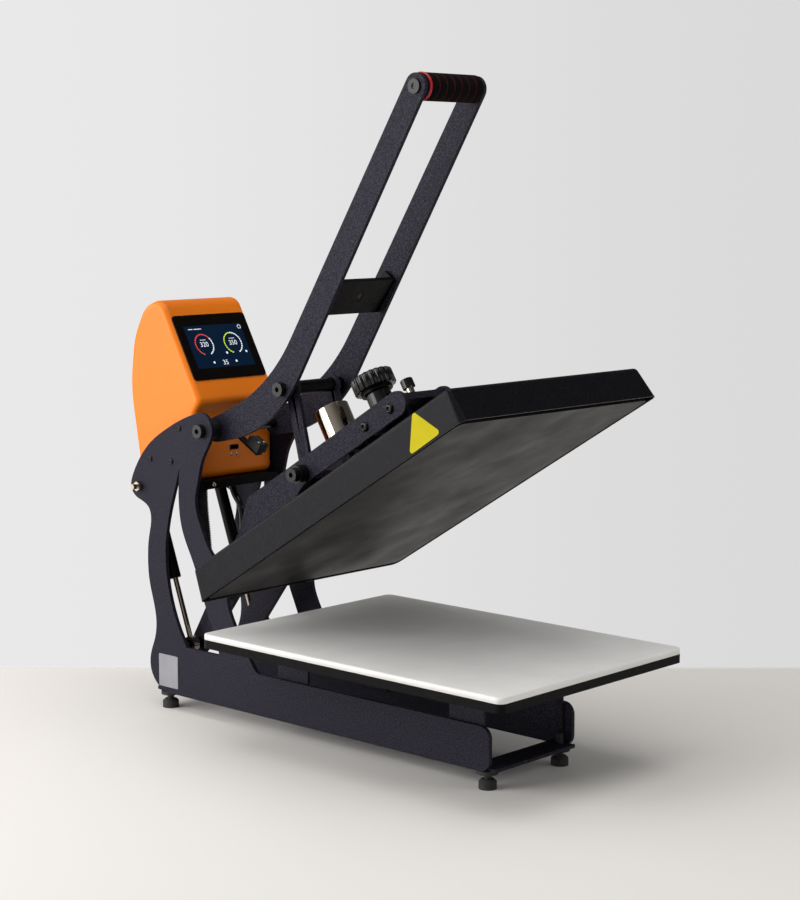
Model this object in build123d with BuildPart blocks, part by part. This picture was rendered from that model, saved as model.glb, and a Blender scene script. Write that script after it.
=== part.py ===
from build123d import *
from math import acos, atan2, cos, degrees, hypot, radians, sin, tan
import os

# Clamshell heat press with a flat platen, an orange control box and a release magnet.
# X runs across, Y from front to rear, Z up. The origin is on the floor under the middle.
# It stands open: the upper platen tilts by open_angle about the platen hinge.
os.makedirs("parts", exist_ok=True)

# Fits shared by all pieces
running_fit = 0.05
seat_gap = 0.3
cut_over = 1.0
SIDES = (("left", -1), ("right", 1))

# Travel of the mechanism
open_angle = 31.19
handle_swing = 54.3

# Side plates, bent like a lambda over a base beam
plate_thickness = 6.0
frame_width = 178.0
frame_front = -306.0
frame_run = 703.0
frame_height = 450.0
base_bottom = 25.0
base_top = 85.0
base_end_radius = 16.0
hinge_shares = (0.73684211, 0.47111111)
handle_pivot_shares = (0.77524893, 0.94222222)
spring_mount_shares = (0.9715505, 0.73555556)
front_edge_shares = [
    (0.784, 1.0), (0.755, 0.987), (0.743, 0.949), (0.753, 0.904), (0.774, 0.851),
    (0.789, 0.773), (0.797, 0.716), (0.775, 0.613), (0.751, 0.553), (0.716, 0.502),
    (0.704, 0.453), (0.703, 0.409), (0.690, 0.351), (0.663, 0.284), (0.640, 0.236),
]
back_edge_shares = [
    (0.888, 0.056), (0.922, 0.076), (0.945, 0.129), (0.943, 0.182), (0.930, 0.233),
    (0.925, 0.293), (0.932, 0.351), (0.945, 0.422), (0.949, 0.5), (0.945, 0.567),
    (0.937, 0.636), (0.942, 0.664), (0.959, 0.684), (0.989, 0.704), (1.0, 0.729),
    (0.994, 0.771), (0.972, 0.827), (0.935, 0.887), (0.893, 0.929), (0.842, 0.969),
    (0.784, 1.0),
]
slot_rear_shares = [
    (0.829, 0.222), (0.862, 0.309), (0.885, 0.416), (0.892, 0.524), (0.886, 0.609),
    (0.868, 0.707), (0.844, 0.813),
]
slot_front_shares = [
    (0.844, 0.813), (0.848, 0.702), (0.838, 0.611), (0.805, 0.509), (0.772, 0.384),
    (0.744, 0.289), (0.728, 0.222),
]

# Upper platen, measured from the rear edge of its rim: forward, and up from the rim's plane
cover_width = 400.0
cover_depth = 560.0
cover_height = 48.0
cover_taper = 8.3
cover_wall = 2.0
cover_corner = 12.0
cover_edge_radius = 7.0
hinge_back = 71.65
hinge_up = 51.56
heat_plate_thickness = 16.0
heat_plate_side_margin = 7.0
heat_plate_rear_margin = 10.5
heat_plate_front_margin = 12.5
element_diameter = 8.0
element_reach_share = 0.42
element_bend_share = 0.19
element_run_shares = (-1.0, -0.6, -0.2, 0.2, 0.6, 1.0)
blanket_margin = 7.0

# Lever plates that carry the upper platen
lever_spacing = 99.0
lever_top = 137.3
lever_depth = 33.2
lever_front = 360.0
lever_elbow_forward = 10.0
lever_back = 27.0
lever_back_up = 105.4
lever_belly_forward = 41.8
lever_hub_radius = 21.0
lever_tail_radius = 17.0
link_pin_forward = 133.3
link_pin_up = 117.7
spring_pin_back = 197.2
spring_pin_down = 3.3
bridge_front = 352.0
bridge_depth = 112.0
bridge_thickness = 10.0
bridge_drop = 6.0
rear_bridge_front = 95.0
rear_bridge_depth = 50.0
lift_plate_width = 180.0
lift_plate_thickness = 6.0
post_diameter = 14.0
post_spacing = 56.0
post_inset = 16.0
hinge_shaft_diameter = 20.0

# Handle: two bent arms, a foam grip, a cross tube and the plate that the magnet holds
arm_thickness = 6.0
arm_spacing = 122.8
handle_reach = 390.0
handle_rise = 478.0
arm_end_radius = 17.5
arm_pivot_radius = 18.0
arm_inside_forward = 111.5
arm_inside_up = 67.6
arm_inside_radius = 270.0
arm_outside_forward = 123.2
arm_outside_up = 6.6
arm_outside_radius = 215.0
cross_tube_forward = 138.0
cross_tube_up = 68.0
cross_tube_diameter = 20.0
cross_tube_wall = 3.0
grip_diameter = 37.0
grip_tube_diameter = 25.0
grip_tube_wall = 2.5
grip_ring_width = 6.0
keeper_forward = 231.85478
keeper_up = 197.45897
keeper_lead = 12.0
keeper_gap = 0.5
keeper_length = 58.0
keeper_thickness = 6.0
keeper_flange = 14.0
keeper_slot_length = 11.0
keeper_slot_width = 6.0
shaft_diameter = 14.0
bush_diameter = 28.0
bolt_head_diameter = 20.0
bolt_head_height = 9.0
grip_bolt_height = 3.0
socket_width = 8.0
socket_depth = 5.0

# Links from the cross tube to the lever plates
link_thickness = 6.0
link_spacing = 85.0
link_radius = 11.5
link_eye_radius = 15.0
link_boss_diameter = 26.0
link_boss_height = 24.0
link_pin_diameter = 12.0

# Gas springs
spring_spacing = 132.0
spring_cylinder_diameter = 18.0
spring_cylinder_wall = 1.1
spring_cylinder_length = 145.0
spring_rod_diameter = 8.0
spring_rod_engaged = 34.0
spring_piston_length = 10.0
spring_eye_radius = 10.0
spring_eye_width = 10.0
spring_end_eye_radius = 12.0
spring_end_play = 3.3
spring_pin_diameter = 8.0
spring_collar_diameter = 16.0
spring_pin_stand = 15.0
spring_nut_width = 15.0
spring_nut_height = 7.0
spring_neck = 16.0

# Release magnet
magnet_diameter = 50.0
magnet_base = 137.0
magnet_plate_thickness = 8.0
magnet_plate_lead = 29.0
magnet_plate_depth = 46.0
magnet_seat_width = 62.0
magnet_core_diameter = 20.0

# Pressure knob
knob_forward = 277.0
knob_diameter = 61.0
knob_height = 22.0
knob_bottom = 172.0
knob_flutes = 24
knob_flute_radius = 2.6
knob_flute_offset = 0.9
knob_recess_margin = 7.8
knob_recess_depth = 2.6
knob_collar_diameter = 46.0
knob_collar_height = 5.0
sleeve_diameter = 36.0
sleeve_wall = 4.0
window_width = 9.0
window_height = 17.0
spindle_diameter = 18.0
stop_post_forward = 333.0
stop_post_diameter = 11.0
stop_post_head_diameter = 18.0
stop_post_head_height = 13.0
stop_post_rise = 14.0

# Lower platen
lower_margin = 10.0
lower_corner = 10.0
lower_thickness = 12.0
pad_thickness = 8.0
support_width = 60.0
support_wall = 4.0
support_foot = 40.0
support_front_inset = 44.0
support_spacing = 322.0

# Levelling feet and the plates that hold them
foot_spacing = 150.0
foot_front_inset = 14.0
foot_rear_inset = 67.0
foot_diameter = 28.0
foot_body_diameter = 24.0
foot_body_height = 13.0
foot_disc_height = 5.0
foot_chamfer = 3.25
foot_stud_diameter = 10.0
foot_stud_top = 44.0
foot_plate_depth = 40.0
foot_plate_thickness = 5.0

# Control box
box_width = 156.0
box_wall = 3.0
box_edge_radius = 9.0
box_lift = 17.0
box_rise = 263.0
box_depth = 154.0
box_overhang = 12.7
box_cover_depth = 53.7
box_outline_shares = [
    (0.866, 0.0), (1.016, 0.494), (0.95, 0.776), (0.79, 0.95), (0.535, 1.004),
    (-0.005, 0.441), (0.067, 0.376), (0.067, 0.0),
]
box_outline_radii = [12.0, 200.0, 110.0, 38.0, 22.0, 12.0, 12.0, 12.0]
screen_width = 143.0
screen_height = 105.0
screen_thickness = 4.0
screen_proud = 1.5
screen_radius = 6.0
window_margin = 8.0
display_width = 113.0
display_height = 69.0
display_thickness = 2.0
screen_drop = 84.0
board_width = 110.0
board_height = 70.0
board_thickness = 1.6
board_gap = 10.0
standoff_diameter = 6.0
tray_thickness = 3.0
tray_front_inset = 1.7
tray_depth = 120.0
tray_lip = 13.0
spacer_diameter = 16.0
spacer_shares = [(0.2, 0.29), (0.32, 0.1), (0.62, 0.1)]
inlet_width = 48.0
inlet_height = 28.0
inlet_depth = 26.0
inlet_flange = 3.0
inlet_flange_width = 58.0
inlet_up = 30.0
inlet_x = -26.0
inlet_socket_width = 28.0
inlet_socket_height = 20.0
inlet_socket_depth = 18.0
inlet_socket_radius = 3.0
inlet_pin_width = 1.5
inlet_pin_height = 6.0
inlet_pin_length = 13.0
inlet_pin_places = [(0.0, 4.0), (-7.0, -2.8), (7.0, -2.8)]
rocker_x = 34.0
rocker_wall = 2.0
rocker_play = 0.6
rocker_flange = 1.5
rocker_width = 13.0
rocker_length = 20.0
rocker_depth = 12.0
rocker_swing = 16.0
rocker_travel = 1.8
port_width = 18.0
port_height = 8.0
port_depth = 8.0
port_x = 0.0
port_up = 43.0

# Handle switch that hangs in front of the control box
switch_x = -30.0
switch_forward = 58.0
switch_down = 34.0
switch_length = 26.0
switch_width = 11.0
switch_height = 15.0
switch_strip_thickness = 2.5
switch_strip_width = 12.0
switch_ring_wall = 4.0

# Leads under the control box
conduit_diameter = 21.2
conduit_x = -62.0
conduit_entry_up = 24.0
conduit_setback = 16.3
conduit_route_shares = [
    (0.0, 0.1577298), (0.1049428, 0.4863336), (0.1499183, 0.8149375), (0.4647468, 0.9792394),
]
gland_diameter = 27.0
gland_height = 9.0
lead_diameter = 10.0
lead_x = 6.0
lead_entry_up = 30.0
lead_setback = 22.3
lead_route_shares = [
    (0.0, 0.0818705), (0.3269623, 0.2456116), (0.3269623, 0.5321584), (0.3127466, 0.8323504),
    (0.5686301, 0.9756238),
]
wall_run = 84.0
bend_share = 0.45
lead_gland_diameter = 16.0


# Shared geometry
frame_rear = frame_front + frame_run
hinge_y = frame_front + hinge_shares[0] * frame_run
hinge_z = hinge_shares[1] * frame_height
handle_pivot_y = frame_front + handle_pivot_shares[0] * frame_run
handle_pivot_z = handle_pivot_shares[1] * frame_height
spring_mount_y = frame_front + spring_mount_shares[0] * frame_run
spring_mount_z = spring_mount_shares[1] * frame_height
plate_inside = frame_width / 2 - plate_thickness
lever_outside = lever_spacing / 2
lever_inside = lever_outside - plate_thickness
arm_outside = arm_spacing / 2
arm_inside = arm_outside - arm_thickness
link_outside = link_spacing / 2
link_inside = link_outside - link_thickness
spring_x = spring_spacing / 2
tilt_sin = sin(radians(open_angle))
tilt_cos = cos(radians(open_angle))
rim_y = hinge_y - hinge_back * tilt_cos - hinge_up * tilt_sin
rim_z = hinge_z + hinge_back * tilt_sin - hinge_up * tilt_cos
press_plane = hinge_z - hinge_up
lower_centre_y = hinge_y - hinge_back - cover_depth / 2
heat_plate_width = cover_width - 2 * heat_plate_side_margin
heat_plate_depth = cover_depth - heat_plate_rear_margin - heat_plate_front_margin
lower_width = cover_width - 2 * lower_margin
lower_depth = cover_depth - 2 * lower_margin
foot_front_y = frame_front + foot_front_inset
foot_rear_y = frame_rear - foot_rear_inset
support_front_y = frame_front + support_front_inset
box_bottom = spring_mount_z + box_lift
box_back = frame_rear + box_overhang
box_start = box_back - box_depth
box_split = box_back - box_cover_depth
tray_front = box_start - tray_front_inset
port_z = box_bottom + port_up


def scaled(shares, run, rise, start_y, start_z):
    """Points of an outline from shares of its run and rise."""
    return [(start_y + a * run, start_z + b * rise) for a, b in shares]


def touch(centre, radius, outside, turn):
    """Point where a line from an outside point touches a circle, on the side given by turn."""
    run = outside[0] - centre[0]
    rise = outside[1] - centre[1]
    angle = atan2(rise, run) + turn * acos(radius / hypot(run, rise))
    return (centre[0] + radius * cos(angle), centre[1] + radius * sin(angle))


def on_platen(forward, up):
    """Place in the Y-Z plane of a point given forward and up from the platen's rim."""
    return (rim_y - forward * tilt_cos + up * tilt_sin, rim_z + forward * tilt_sin + up * tilt_cos)


def platen_plane(up, forward=0, x=0):
    """Plane parallel to the upper platen, X across and local Y to the rear."""
    y, z = on_platen(forward, up)
    return Plane(origin=(x, y, z), x_dir=(1, 0, 0), z_dir=(0, tilt_sin, tilt_cos))


def lever_plane(x):
    """Upright plane through x that tilts with the platen; local X runs forward, local Y up."""
    return Plane(origin=(x, rim_y, rim_z), x_dir=(0, -tilt_cos, tilt_sin), z_dir=(-1, 0, 0))


def write(builder, name):
    builder.part.label = name
    export_step(builder.part, "parts/" + name + ".step")


grip_y = handle_pivot_y - handle_reach
grip_z = handle_pivot_z + handle_rise
cross_tube_y = handle_pivot_y - cross_tube_forward
cross_tube_z = handle_pivot_z + cross_tube_up
link_pin_y, link_pin_z = on_platen(link_pin_forward, link_pin_up)
spring_pin_y, spring_pin_z = on_platen(-spring_pin_back, -spring_pin_down)
link_length = hypot(cross_tube_y - link_pin_y, cross_tube_z - link_pin_z)
link_angle = degrees(atan2(link_pin_z - cross_tube_z, link_pin_y - cross_tube_y))
spring_length = hypot(spring_mount_y - spring_pin_y, spring_mount_z - spring_pin_z)

# Side plates: one laser-cut sheet each, from the rounded base beam up to the control box
for side_name, side in SIDES:
    with BuildPart() as side_plate:
        with BuildSketch(Plane.YZ.offset(side * plate_inside)):
            with BuildLine():
                front = scaled(front_edge_shares, frame_run, frame_height, frame_front, 0)
                back = scaled(back_edge_shares, frame_run, frame_height, frame_front, 0)
                rear_corner = (back[0][0], base_bottom)
                Spline(*front)
                FilletPolyline(
                    front[-1],
                    (front[-1][0] - base_end_radius, base_top),
                    (frame_front, base_top),
                    (frame_front, base_bottom),
                    rear_corner,
                    radius=base_end_radius,
                )
                Spline(rear_corner, *back[1:])
            make_face()
            with BuildLine():
                rear = scaled(slot_rear_shares, frame_run, frame_height, frame_front, 0)
                fore = scaled(slot_front_shares, frame_run, frame_height, frame_front, 0)
                Spline(*rear)
                Spline(*fore)
                Line(fore[-1], rear[0])
            make_face(mode=Mode.SUBTRACT)
            with Locations((hinge_y, hinge_z)):
                Circle(hinge_shaft_diameter / 2, mode=Mode.SUBTRACT)
            with Locations((handle_pivot_y, handle_pivot_z)):
                Circle(shaft_diameter / 2, mode=Mode.SUBTRACT)
            with Locations((spring_mount_y, spring_mount_z)):
                Circle(spring_pin_diameter / 2, mode=Mode.SUBTRACT)
        extrude(amount=side * plate_thickness)
    write(side_plate, side_name + "_side_plate")

# Handle arms: wide round the bend, rounded at the pivot and at the grip
pivot = (handle_pivot_y, handle_pivot_z)
grip = (grip_y, grip_z)
inside_corner = (handle_pivot_y - arm_inside_forward, handle_pivot_z + arm_inside_up)
outside_corner = (handle_pivot_y - arm_outside_forward, handle_pivot_z + arm_outside_up)
for side_name, side in SIDES:
    with BuildPart() as arm:
        with BuildSketch(Plane.YZ.offset(side * arm_inside)):
            with BuildLine():
                upper_start = touch(grip, arm_end_radius, inside_corner, 1)
                upper_end = touch(pivot, arm_pivot_radius, inside_corner, -1)
                lower_start = touch(pivot, arm_pivot_radius, outside_corner, 1)
                lower_end = touch(grip, arm_end_radius, outside_corner, -1)
                FilletPolyline(upper_start, inside_corner, upper_end, radius=arm_inside_radius)
                Line(upper_end, lower_start)
                FilletPolyline(lower_start, outside_corner, lower_end, radius=arm_outside_radius)
                Line(lower_end, upper_start)
            make_face()
            with Locations(grip):
                Circle(arm_end_radius)
            with Locations(pivot):
                Circle(arm_pivot_radius)
                Circle(shaft_diameter / 2 + running_fit, mode=Mode.SUBTRACT)
        extrude(amount=side * arm_thickness)
    write(arm, side_name + "_handle_arm")


def along_x(radius, x_start, x_end, y, z, mode=Mode.ADD):
    """Cylinder along X between two places."""
    with Locations(Location((min(x_start, x_end), y, z), (0, 90, 0))):
        Cylinder(radius, abs(x_end - x_start), align=(Align.CENTER, Align.CENTER, Align.MIN), mode=mode)


def along_platen(radius, forward, x, up_start, up_end, mode=Mode.ADD):
    """Cylinder square to the upper platen between two heights above its rim."""
    with Locations(platen_plane(up_start, forward, x).location):
        Cylinder(radius, up_end - up_start, align=(Align.CENTER, Align.CENTER, Align.MIN), mode=mode)


socket_key = extrude(RegularPolygon(socket_width / 2, 6), amount=socket_depth)
nut_blank = extrude(RegularPolygon(spring_nut_width / 2, 6), amount=spring_nut_height)


def bolt_head(side, x, y, z, height):
    """Round bolt head with a hexagon socket, its seat at x, facing outward."""
    end = x + side * height
    depth = min(socket_depth, height / 2)
    along_x(bolt_head_diameter / 2, x, end, y, z)
    with Locations(Location((end - side * depth, y, z), (0, 90 * side, 0))):
        add(socket_key, mode=Mode.SUBTRACT)


# Handle shaft and platen hinge shaft through both side plates, with the black bushes on them
shafts = (
    (shaft_diameter, arm_outside, handle_pivot_y, handle_pivot_z),
    (hinge_shaft_diameter, lever_outside, hinge_y, hinge_z),
)
with BuildPart() as pivot_shafts:
    for diameter, inner, y, z in shafts:
        along_x(diameter / 2, -frame_width / 2, frame_width / 2, y, z)
        for side_name, side in SIDES:
            bolt_head(side, side * frame_width / 2, y, z, bolt_head_height)
write(pivot_shafts, "pivot_shafts")

with BuildPart() as pivot_bushes:
    for diameter, inner, y, z in shafts:
        for side_name, side in SIDES:
            along_x(bush_diameter / 2, side * plate_inside, side * (inner + seat_gap), y, z)
        along_x(diameter / 2, -frame_width / 2, frame_width / 2, y, z, mode=Mode.SUBTRACT)
write(pivot_bushes, "pivot_bushes")

# Cross tube between the arms
with BuildPart() as cross_tube:
    along_x(cross_tube_diameter / 2, -arm_inside, arm_inside, cross_tube_y, cross_tube_z)
    along_x(
        cross_tube_diameter / 2 - cross_tube_wall, -arm_inside, arm_inside,
        cross_tube_y, cross_tube_z, mode=Mode.SUBTRACT,
    )
write(cross_tube, "cross_tube")

# Grip: a steel tube, a foam sleeve and a ring at each end
with BuildPart() as grip_tube:
    along_x(grip_tube_diameter / 2, -arm_inside, arm_inside, *grip)
    along_x(grip_tube_diameter / 2 - grip_tube_wall, -arm_inside, arm_inside, *grip, mode=Mode.SUBTRACT)
write(grip_tube, "grip_tube")

foam_end = arm_inside - grip_ring_width
with BuildPart() as foam_grip:
    along_x(grip_diameter / 2, -foam_end, foam_end, *grip)
    along_x(grip_tube_diameter / 2, -foam_end, foam_end, *grip, mode=Mode.SUBTRACT)
write(foam_grip, "foam_grip")

with BuildPart() as grip_rings:
    for side_name, side in SIDES:
        along_x(grip_diameter / 2, side * foam_end, side * arm_inside, *grip)
    along_x(grip_tube_diameter / 2, -arm_inside, arm_inside, *grip, mode=Mode.SUBTRACT)
write(grip_rings, "grip_rings")

# Bolts through the arms that hold the cross tube and the grip tube
with BuildPart() as handle_bolts:
    for side_name, side in SIDES:
        bolt_head(side, side * arm_outside, cross_tube_y, cross_tube_z, bolt_head_height)
        bolt_head(side, side * arm_outside, *grip, grip_bolt_height)
write(handle_bolts, "handle_bolts")

# Keeper: the flanged crossbar that lands flat on the magnet when the press is closed
swing_sin = sin(radians(handle_swing))
swing_cos = cos(radians(handle_swing))
keeper_y = handle_pivot_y - keeper_forward
keeper_z = handle_pivot_z + keeper_up
keeper_plane = Plane(origin=(0, keeper_y, keeper_z), x_dir=(1, 0, 0), z_dir=(0, swing_sin, swing_cos))
with BuildPart() as keeper:
    with BuildSketch(keeper_plane):
        Rectangle(2 * arm_inside, keeper_length)
        SlotOverall(keeper_slot_length, keeper_slot_width, mode=Mode.SUBTRACT)
    extrude(amount=keeper_thickness)
    with BuildSketch(keeper_plane.offset(keeper_thickness)):
        with GridLocations(2 * arm_inside - keeper_thickness, 0, 2, 1):
            Rectangle(keeper_thickness, keeper_length)
    extrude(amount=keeper_flange)
write(keeper, "keeper_crossbar")

# Links from the cross tube down to the lever plates
link_middle = ((cross_tube_y + link_pin_y) / 2, (cross_tube_z + link_pin_z) / 2)
with BuildPart() as links:
    for side_name, side in SIDES:
        with BuildSketch(Plane.YZ.offset(side * link_inside)):
            with Locations(Location(link_middle, link_angle)):
                SlotCenterToCenter(link_length, 2 * link_radius)
            with Locations((cross_tube_y, cross_tube_z)):
                Circle(link_eye_radius)
                Circle(cross_tube_diameter / 2 + running_fit, mode=Mode.SUBTRACT)
            with Locations((link_pin_y, link_pin_z)):
                Circle(link_pin_diameter / 2, mode=Mode.SUBTRACT)
        extrude(amount=side * link_thickness)
write(links, "links")

# Lever plates: straight along the cover, bent down behind the hinge to the gas springs
hub = (-hinge_back, hinge_up)
tail = (-spring_pin_back, -spring_pin_down)
nose_radius = lever_depth / 2
nose = (lever_front - nose_radius, lever_top - nose_radius)
lever_rear = (-lever_back, lever_back_up)
lever_belly_corner = (lever_belly_forward, lever_top - lever_depth)
for side_name, side in SIDES:
    with BuildPart() as lever:
        with BuildSketch(lever_plane(side * lever_inside)):
            with BuildLine():
                tail_upper = touch(tail, lever_tail_radius, lever_rear, 1)
                tail_lower = touch(tail, lever_tail_radius, lever_belly_corner, -1)
                FilletPolyline(
                    tail_upper, lever_rear, (lever_elbow_forward, lever_top), (nose[0], lever_top),
                    radius=lever_tail_radius,
                )
                Line((nose[0], lever_top), (nose[0], lever_top - lever_depth))
                FilletPolyline(
                    (nose[0], lever_top - lever_depth), lever_belly_corner, tail_lower,
                    radius=lever_hub_radius,
                )
                Line(tail_lower, tail_upper)
            make_face()
            with Locations(nose):
                Circle(nose_radius)
            with Locations(hub):
                Circle(lever_hub_radius)
                Circle(hinge_shaft_diameter / 2 + running_fit, mode=Mode.SUBTRACT)
            with Locations(tail):
                Circle(lever_tail_radius)
                Circle(spring_pin_diameter / 2, mode=Mode.SUBTRACT)
            with Locations((link_pin_forward, link_pin_up)):
                Circle(link_pin_diameter / 2, mode=Mode.SUBTRACT)
        extrude(amount=-side * plate_thickness)
    write(lever, side_name + "_lever")

# Tube that joins the levers round the hinge shaft
with BuildPart() as hinge_tube:
    along_x(bush_diameter / 2, -lever_inside, lever_inside, hinge_y, hinge_z)
    along_x(
        hinge_shaft_diameter / 2 + running_fit, -lever_inside, lever_inside,
        hinge_y, hinge_z, mode=Mode.SUBTRACT,
    )
write(hinge_tube, "lever_hinge_tube")

# Pins on the levers: bosses with the link pins, and pins on the tails for the gas springs
with BuildPart() as lever_pins:
    for side_name, side in SIDES:
        boss_end = lever_outside + link_boss_height - bolt_head_height
        along_x(link_boss_diameter / 2, side * lever_outside, side * boss_end, link_pin_y, link_pin_z)
        along_x(link_pin_diameter / 2, side * lever_inside, side * lever_outside, link_pin_y, link_pin_z)
        bolt_head(side, side * boss_end, link_pin_y, link_pin_z, bolt_head_height)
        pin_end = spring_x + spring_eye_width
        along_x(spring_pin_diameter / 2, side * lever_inside, side * pin_end, spring_pin_y, spring_pin_z)
        collar_end = spring_x - spring_eye_width / 2 - seat_gap
        along_x(
            spring_collar_diameter / 2, side * lever_outside, side * collar_end,
            spring_pin_y, spring_pin_z,
        )
write(lever_pins, "lever_pins")

# Upper platen: painted cover, aluminium heat plate, heating element and insulation
platen_up = Axis((0, rim_y, rim_z), (0, tilt_sin, tilt_cos))
inner_width = cover_width - 2 * cover_wall
inner_depth = cover_depth - 2 * cover_wall
with BuildPart() as cover:
    with BuildSketch(platen_plane(0)):
        with Locations((0, -cover_depth / 2)):
            RectangleRounded(cover_width, cover_depth, cover_corner)
    extrude(amount=cover_height, taper=cover_taper)
    fillet(cover.faces().sort_by(platen_up)[-1].edges(), cover_edge_radius)
    with BuildSketch(platen_plane(0)):
        with Locations((0, -cover_depth / 2)):
            RectangleRounded(inner_width, inner_depth, cover_corner - cover_wall)
    extrude(amount=cover_height - cover_wall, taper=cover_taper, mode=Mode.SUBTRACT)
write(cover, "top_cover")

plate_middle = heat_plate_rear_margin + heat_plate_depth / 2
with BuildPart() as heat_plate:
    with BuildSketch(platen_plane(0, plate_middle)):
        RectangleRounded(heat_plate_width, heat_plate_depth, cover_corner - cover_wall)
    extrude(amount=heat_plate_thickness)
write(heat_plate, "heat_plate")

element_up = heat_plate_thickness + element_diameter / 2
element_half = heat_plate_width * element_reach_share
element_ends = heat_plate_depth * element_reach_share
with BuildPart() as element:
    with BuildLine(platen_plane(element_up, plate_middle)) as element_path:
        turns = []
        start = element_ends
        for share in element_run_shares:
            turns.append((share * element_half, start))
            turns.append((share * element_half, -start))
            start = -start
        FilletPolyline(*turns, radius=element_half * element_bend_share)
    with BuildSketch(Plane(origin=element_path.line @ 0, z_dir=element_path.line % 0)):
        Circle(element_diameter / 2)
    sweep()
write(element, "heating_element")

blanket_base = heat_plate_thickness + element_diameter
blanket_top = cover_height - cover_wall
post_places = []
for side_name, side in SIDES:
    post_places.append((side * element_half / 2, plate_middle - element_ends / 2))
    post_places.append((side * element_half / 2, plate_middle + element_ends / 2))
with BuildPart() as insulation:
    with BuildSketch(platen_plane(blanket_base, plate_middle)):
        Rectangle(heat_plate_width - 2 * blanket_margin, heat_plate_depth - 2 * blanket_margin)
    extrude(amount=blanket_top - blanket_base)
    for x, forward in post_places:
        along_platen(post_diameter / 2, forward, x, blanket_base, blanket_top, mode=Mode.SUBTRACT)
write(insulation, "insulation_blanket")

# Lift plate on the cover, with guide posts up to the bridges between the levers
bridge_top = lever_top - bridge_drop
bridge_base = bridge_top - bridge_thickness
lift_top = cover_height + lift_plate_thickness
lift_front = bridge_front - post_inset / 2
lift_rear = rear_bridge_front - rear_bridge_depth
front_posts = (bridge_front - post_inset, bridge_front - bridge_depth + post_inset)
rear_posts = (rear_bridge_front - post_inset,)
with BuildPart() as lift_plate:
    with BuildSketch(platen_plane(cover_height, (lift_front + lift_rear) / 2)):
        RectangleRounded(lift_plate_width, lift_front - lift_rear, cover_corner)
    extrude(amount=lift_plate_thickness)
write(lift_plate, "lift_plate")

with BuildPart() as platen_posts:
    for x, forward in post_places:
        along_platen(post_diameter / 2, forward, x, heat_plate_thickness, blanket_top)
    for x in (-post_spacing / 2, post_spacing / 2):
        for forward in front_posts + rear_posts:
            along_platen(post_diameter / 2, forward, x, lift_top, bridge_base)
write(platen_posts, "platen_posts")

with BuildPart() as bridges:
    for front, depth in ((bridge_front, bridge_depth), (rear_bridge_front, rear_bridge_depth)):
        with BuildSketch(platen_plane(bridge_base, front - depth / 2)):
            Rectangle(2 * lever_inside, depth)
        extrude(amount=bridge_thickness)
    along_platen(
        spindle_diameter / 2 + running_fit, knob_forward, 0, bridge_base, bridge_top, mode=Mode.SUBTRACT,
    )
write(bridges, "lever_bridges")

# Magnet on its plate between the levers, under the keeper's place in the closed press
closed_y = handle_pivot_y - keeper_forward * swing_cos - keeper_up * swing_sin
closed_z = handle_pivot_z - keeper_forward * swing_sin + keeper_up * swing_cos
magnet_forward = hinge_y - hinge_back - keeper_lead - closed_y
magnet_top = closed_z - keeper_gap - press_plane
with BuildPart() as magnet_plate:
    plate_centre = magnet_forward + magnet_plate_lead - magnet_plate_depth / 2
    with BuildSketch(platen_plane(magnet_base - magnet_plate_thickness, plate_centre)):
        Rectangle(2 * lever_inside, magnet_plate_depth)
        with Locations((0, magnet_plate_depth / 2)):
            RectangleRounded(magnet_seat_width, magnet_plate_depth, cover_corner)
    extrude(amount=magnet_plate_thickness)
write(magnet_plate, "magnet_plate")

with BuildPart() as magnet:
    along_platen(magnet_diameter / 2, magnet_forward, 0, magnet_base, magnet_top)
    chamfer(magnet.edges().filter_by(GeomType.CIRCLE), cut_over)
    along_platen(
        magnet_core_diameter / 2 + cut_over, magnet_forward, 0,
        magnet_top - cut_over, magnet_top, mode=Mode.SUBTRACT,
    )
    along_platen(magnet_core_diameter / 2, magnet_forward, 0, magnet_top - cut_over, magnet_top)
write(magnet, "release_magnet")

# Pressure knob, its slotted sleeve on the bridge, and the collared spindle inside
sleeve_top = knob_bottom - knob_collar_height - seat_gap
with BuildPart() as sleeve:
    along_platen(sleeve_diameter / 2, knob_forward, 0, bridge_top, sleeve_top)
    along_platen(
        sleeve_diameter / 2 - sleeve_wall, knob_forward, 0,
        bridge_top, sleeve_top, mode=Mode.SUBTRACT,
    )
    sleeve_middle = (bridge_top + sleeve_top + seat_gap) / 2
    window_y, window_z = on_platen(knob_forward, sleeve_middle)
    window_plane = Plane(origin=(0, window_y, window_z), x_dir=(1, 0, 0), z_dir=(0, -tilt_cos, tilt_sin))
    with BuildSketch(window_plane):
        SlotOverall(window_height, window_width, rotation=90)
    extrude(amount=sleeve_diameter, both=True, mode=Mode.SUBTRACT)
write(sleeve, "knob_sleeve")

with BuildPart() as knob:
    with BuildSketch(platen_plane(knob_bottom, knob_forward)):
        Circle(knob_diameter / 2)
        with PolarLocations(knob_diameter / 2 + knob_flute_offset, knob_flutes):
            Circle(knob_flute_radius, mode=Mode.SUBTRACT)
        Circle(spindle_diameter / 2, mode=Mode.SUBTRACT)
    extrude(amount=knob_height)
    along_platen(
        knob_diameter / 2 - knob_recess_margin, knob_forward, 0,
        knob_bottom + knob_height - knob_recess_depth, knob_bottom + knob_height, mode=Mode.SUBTRACT,
    )
write(knob, "pressure_knob")

with BuildPart() as spindle:
    spindle_top = knob_bottom + knob_height - knob_recess_depth
    along_platen(spindle_diameter / 2, knob_forward, 0, lift_top + seat_gap, spindle_top)
    chamfer(spindle.edges().filter_by(GeomType.CIRCLE).sort_by(platen_up)[0], cut_over)
    along_platen(knob_collar_diameter / 2, knob_forward, 0, knob_bottom - knob_collar_height, knob_bottom)
write(spindle, "pressure_spindle")

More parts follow.
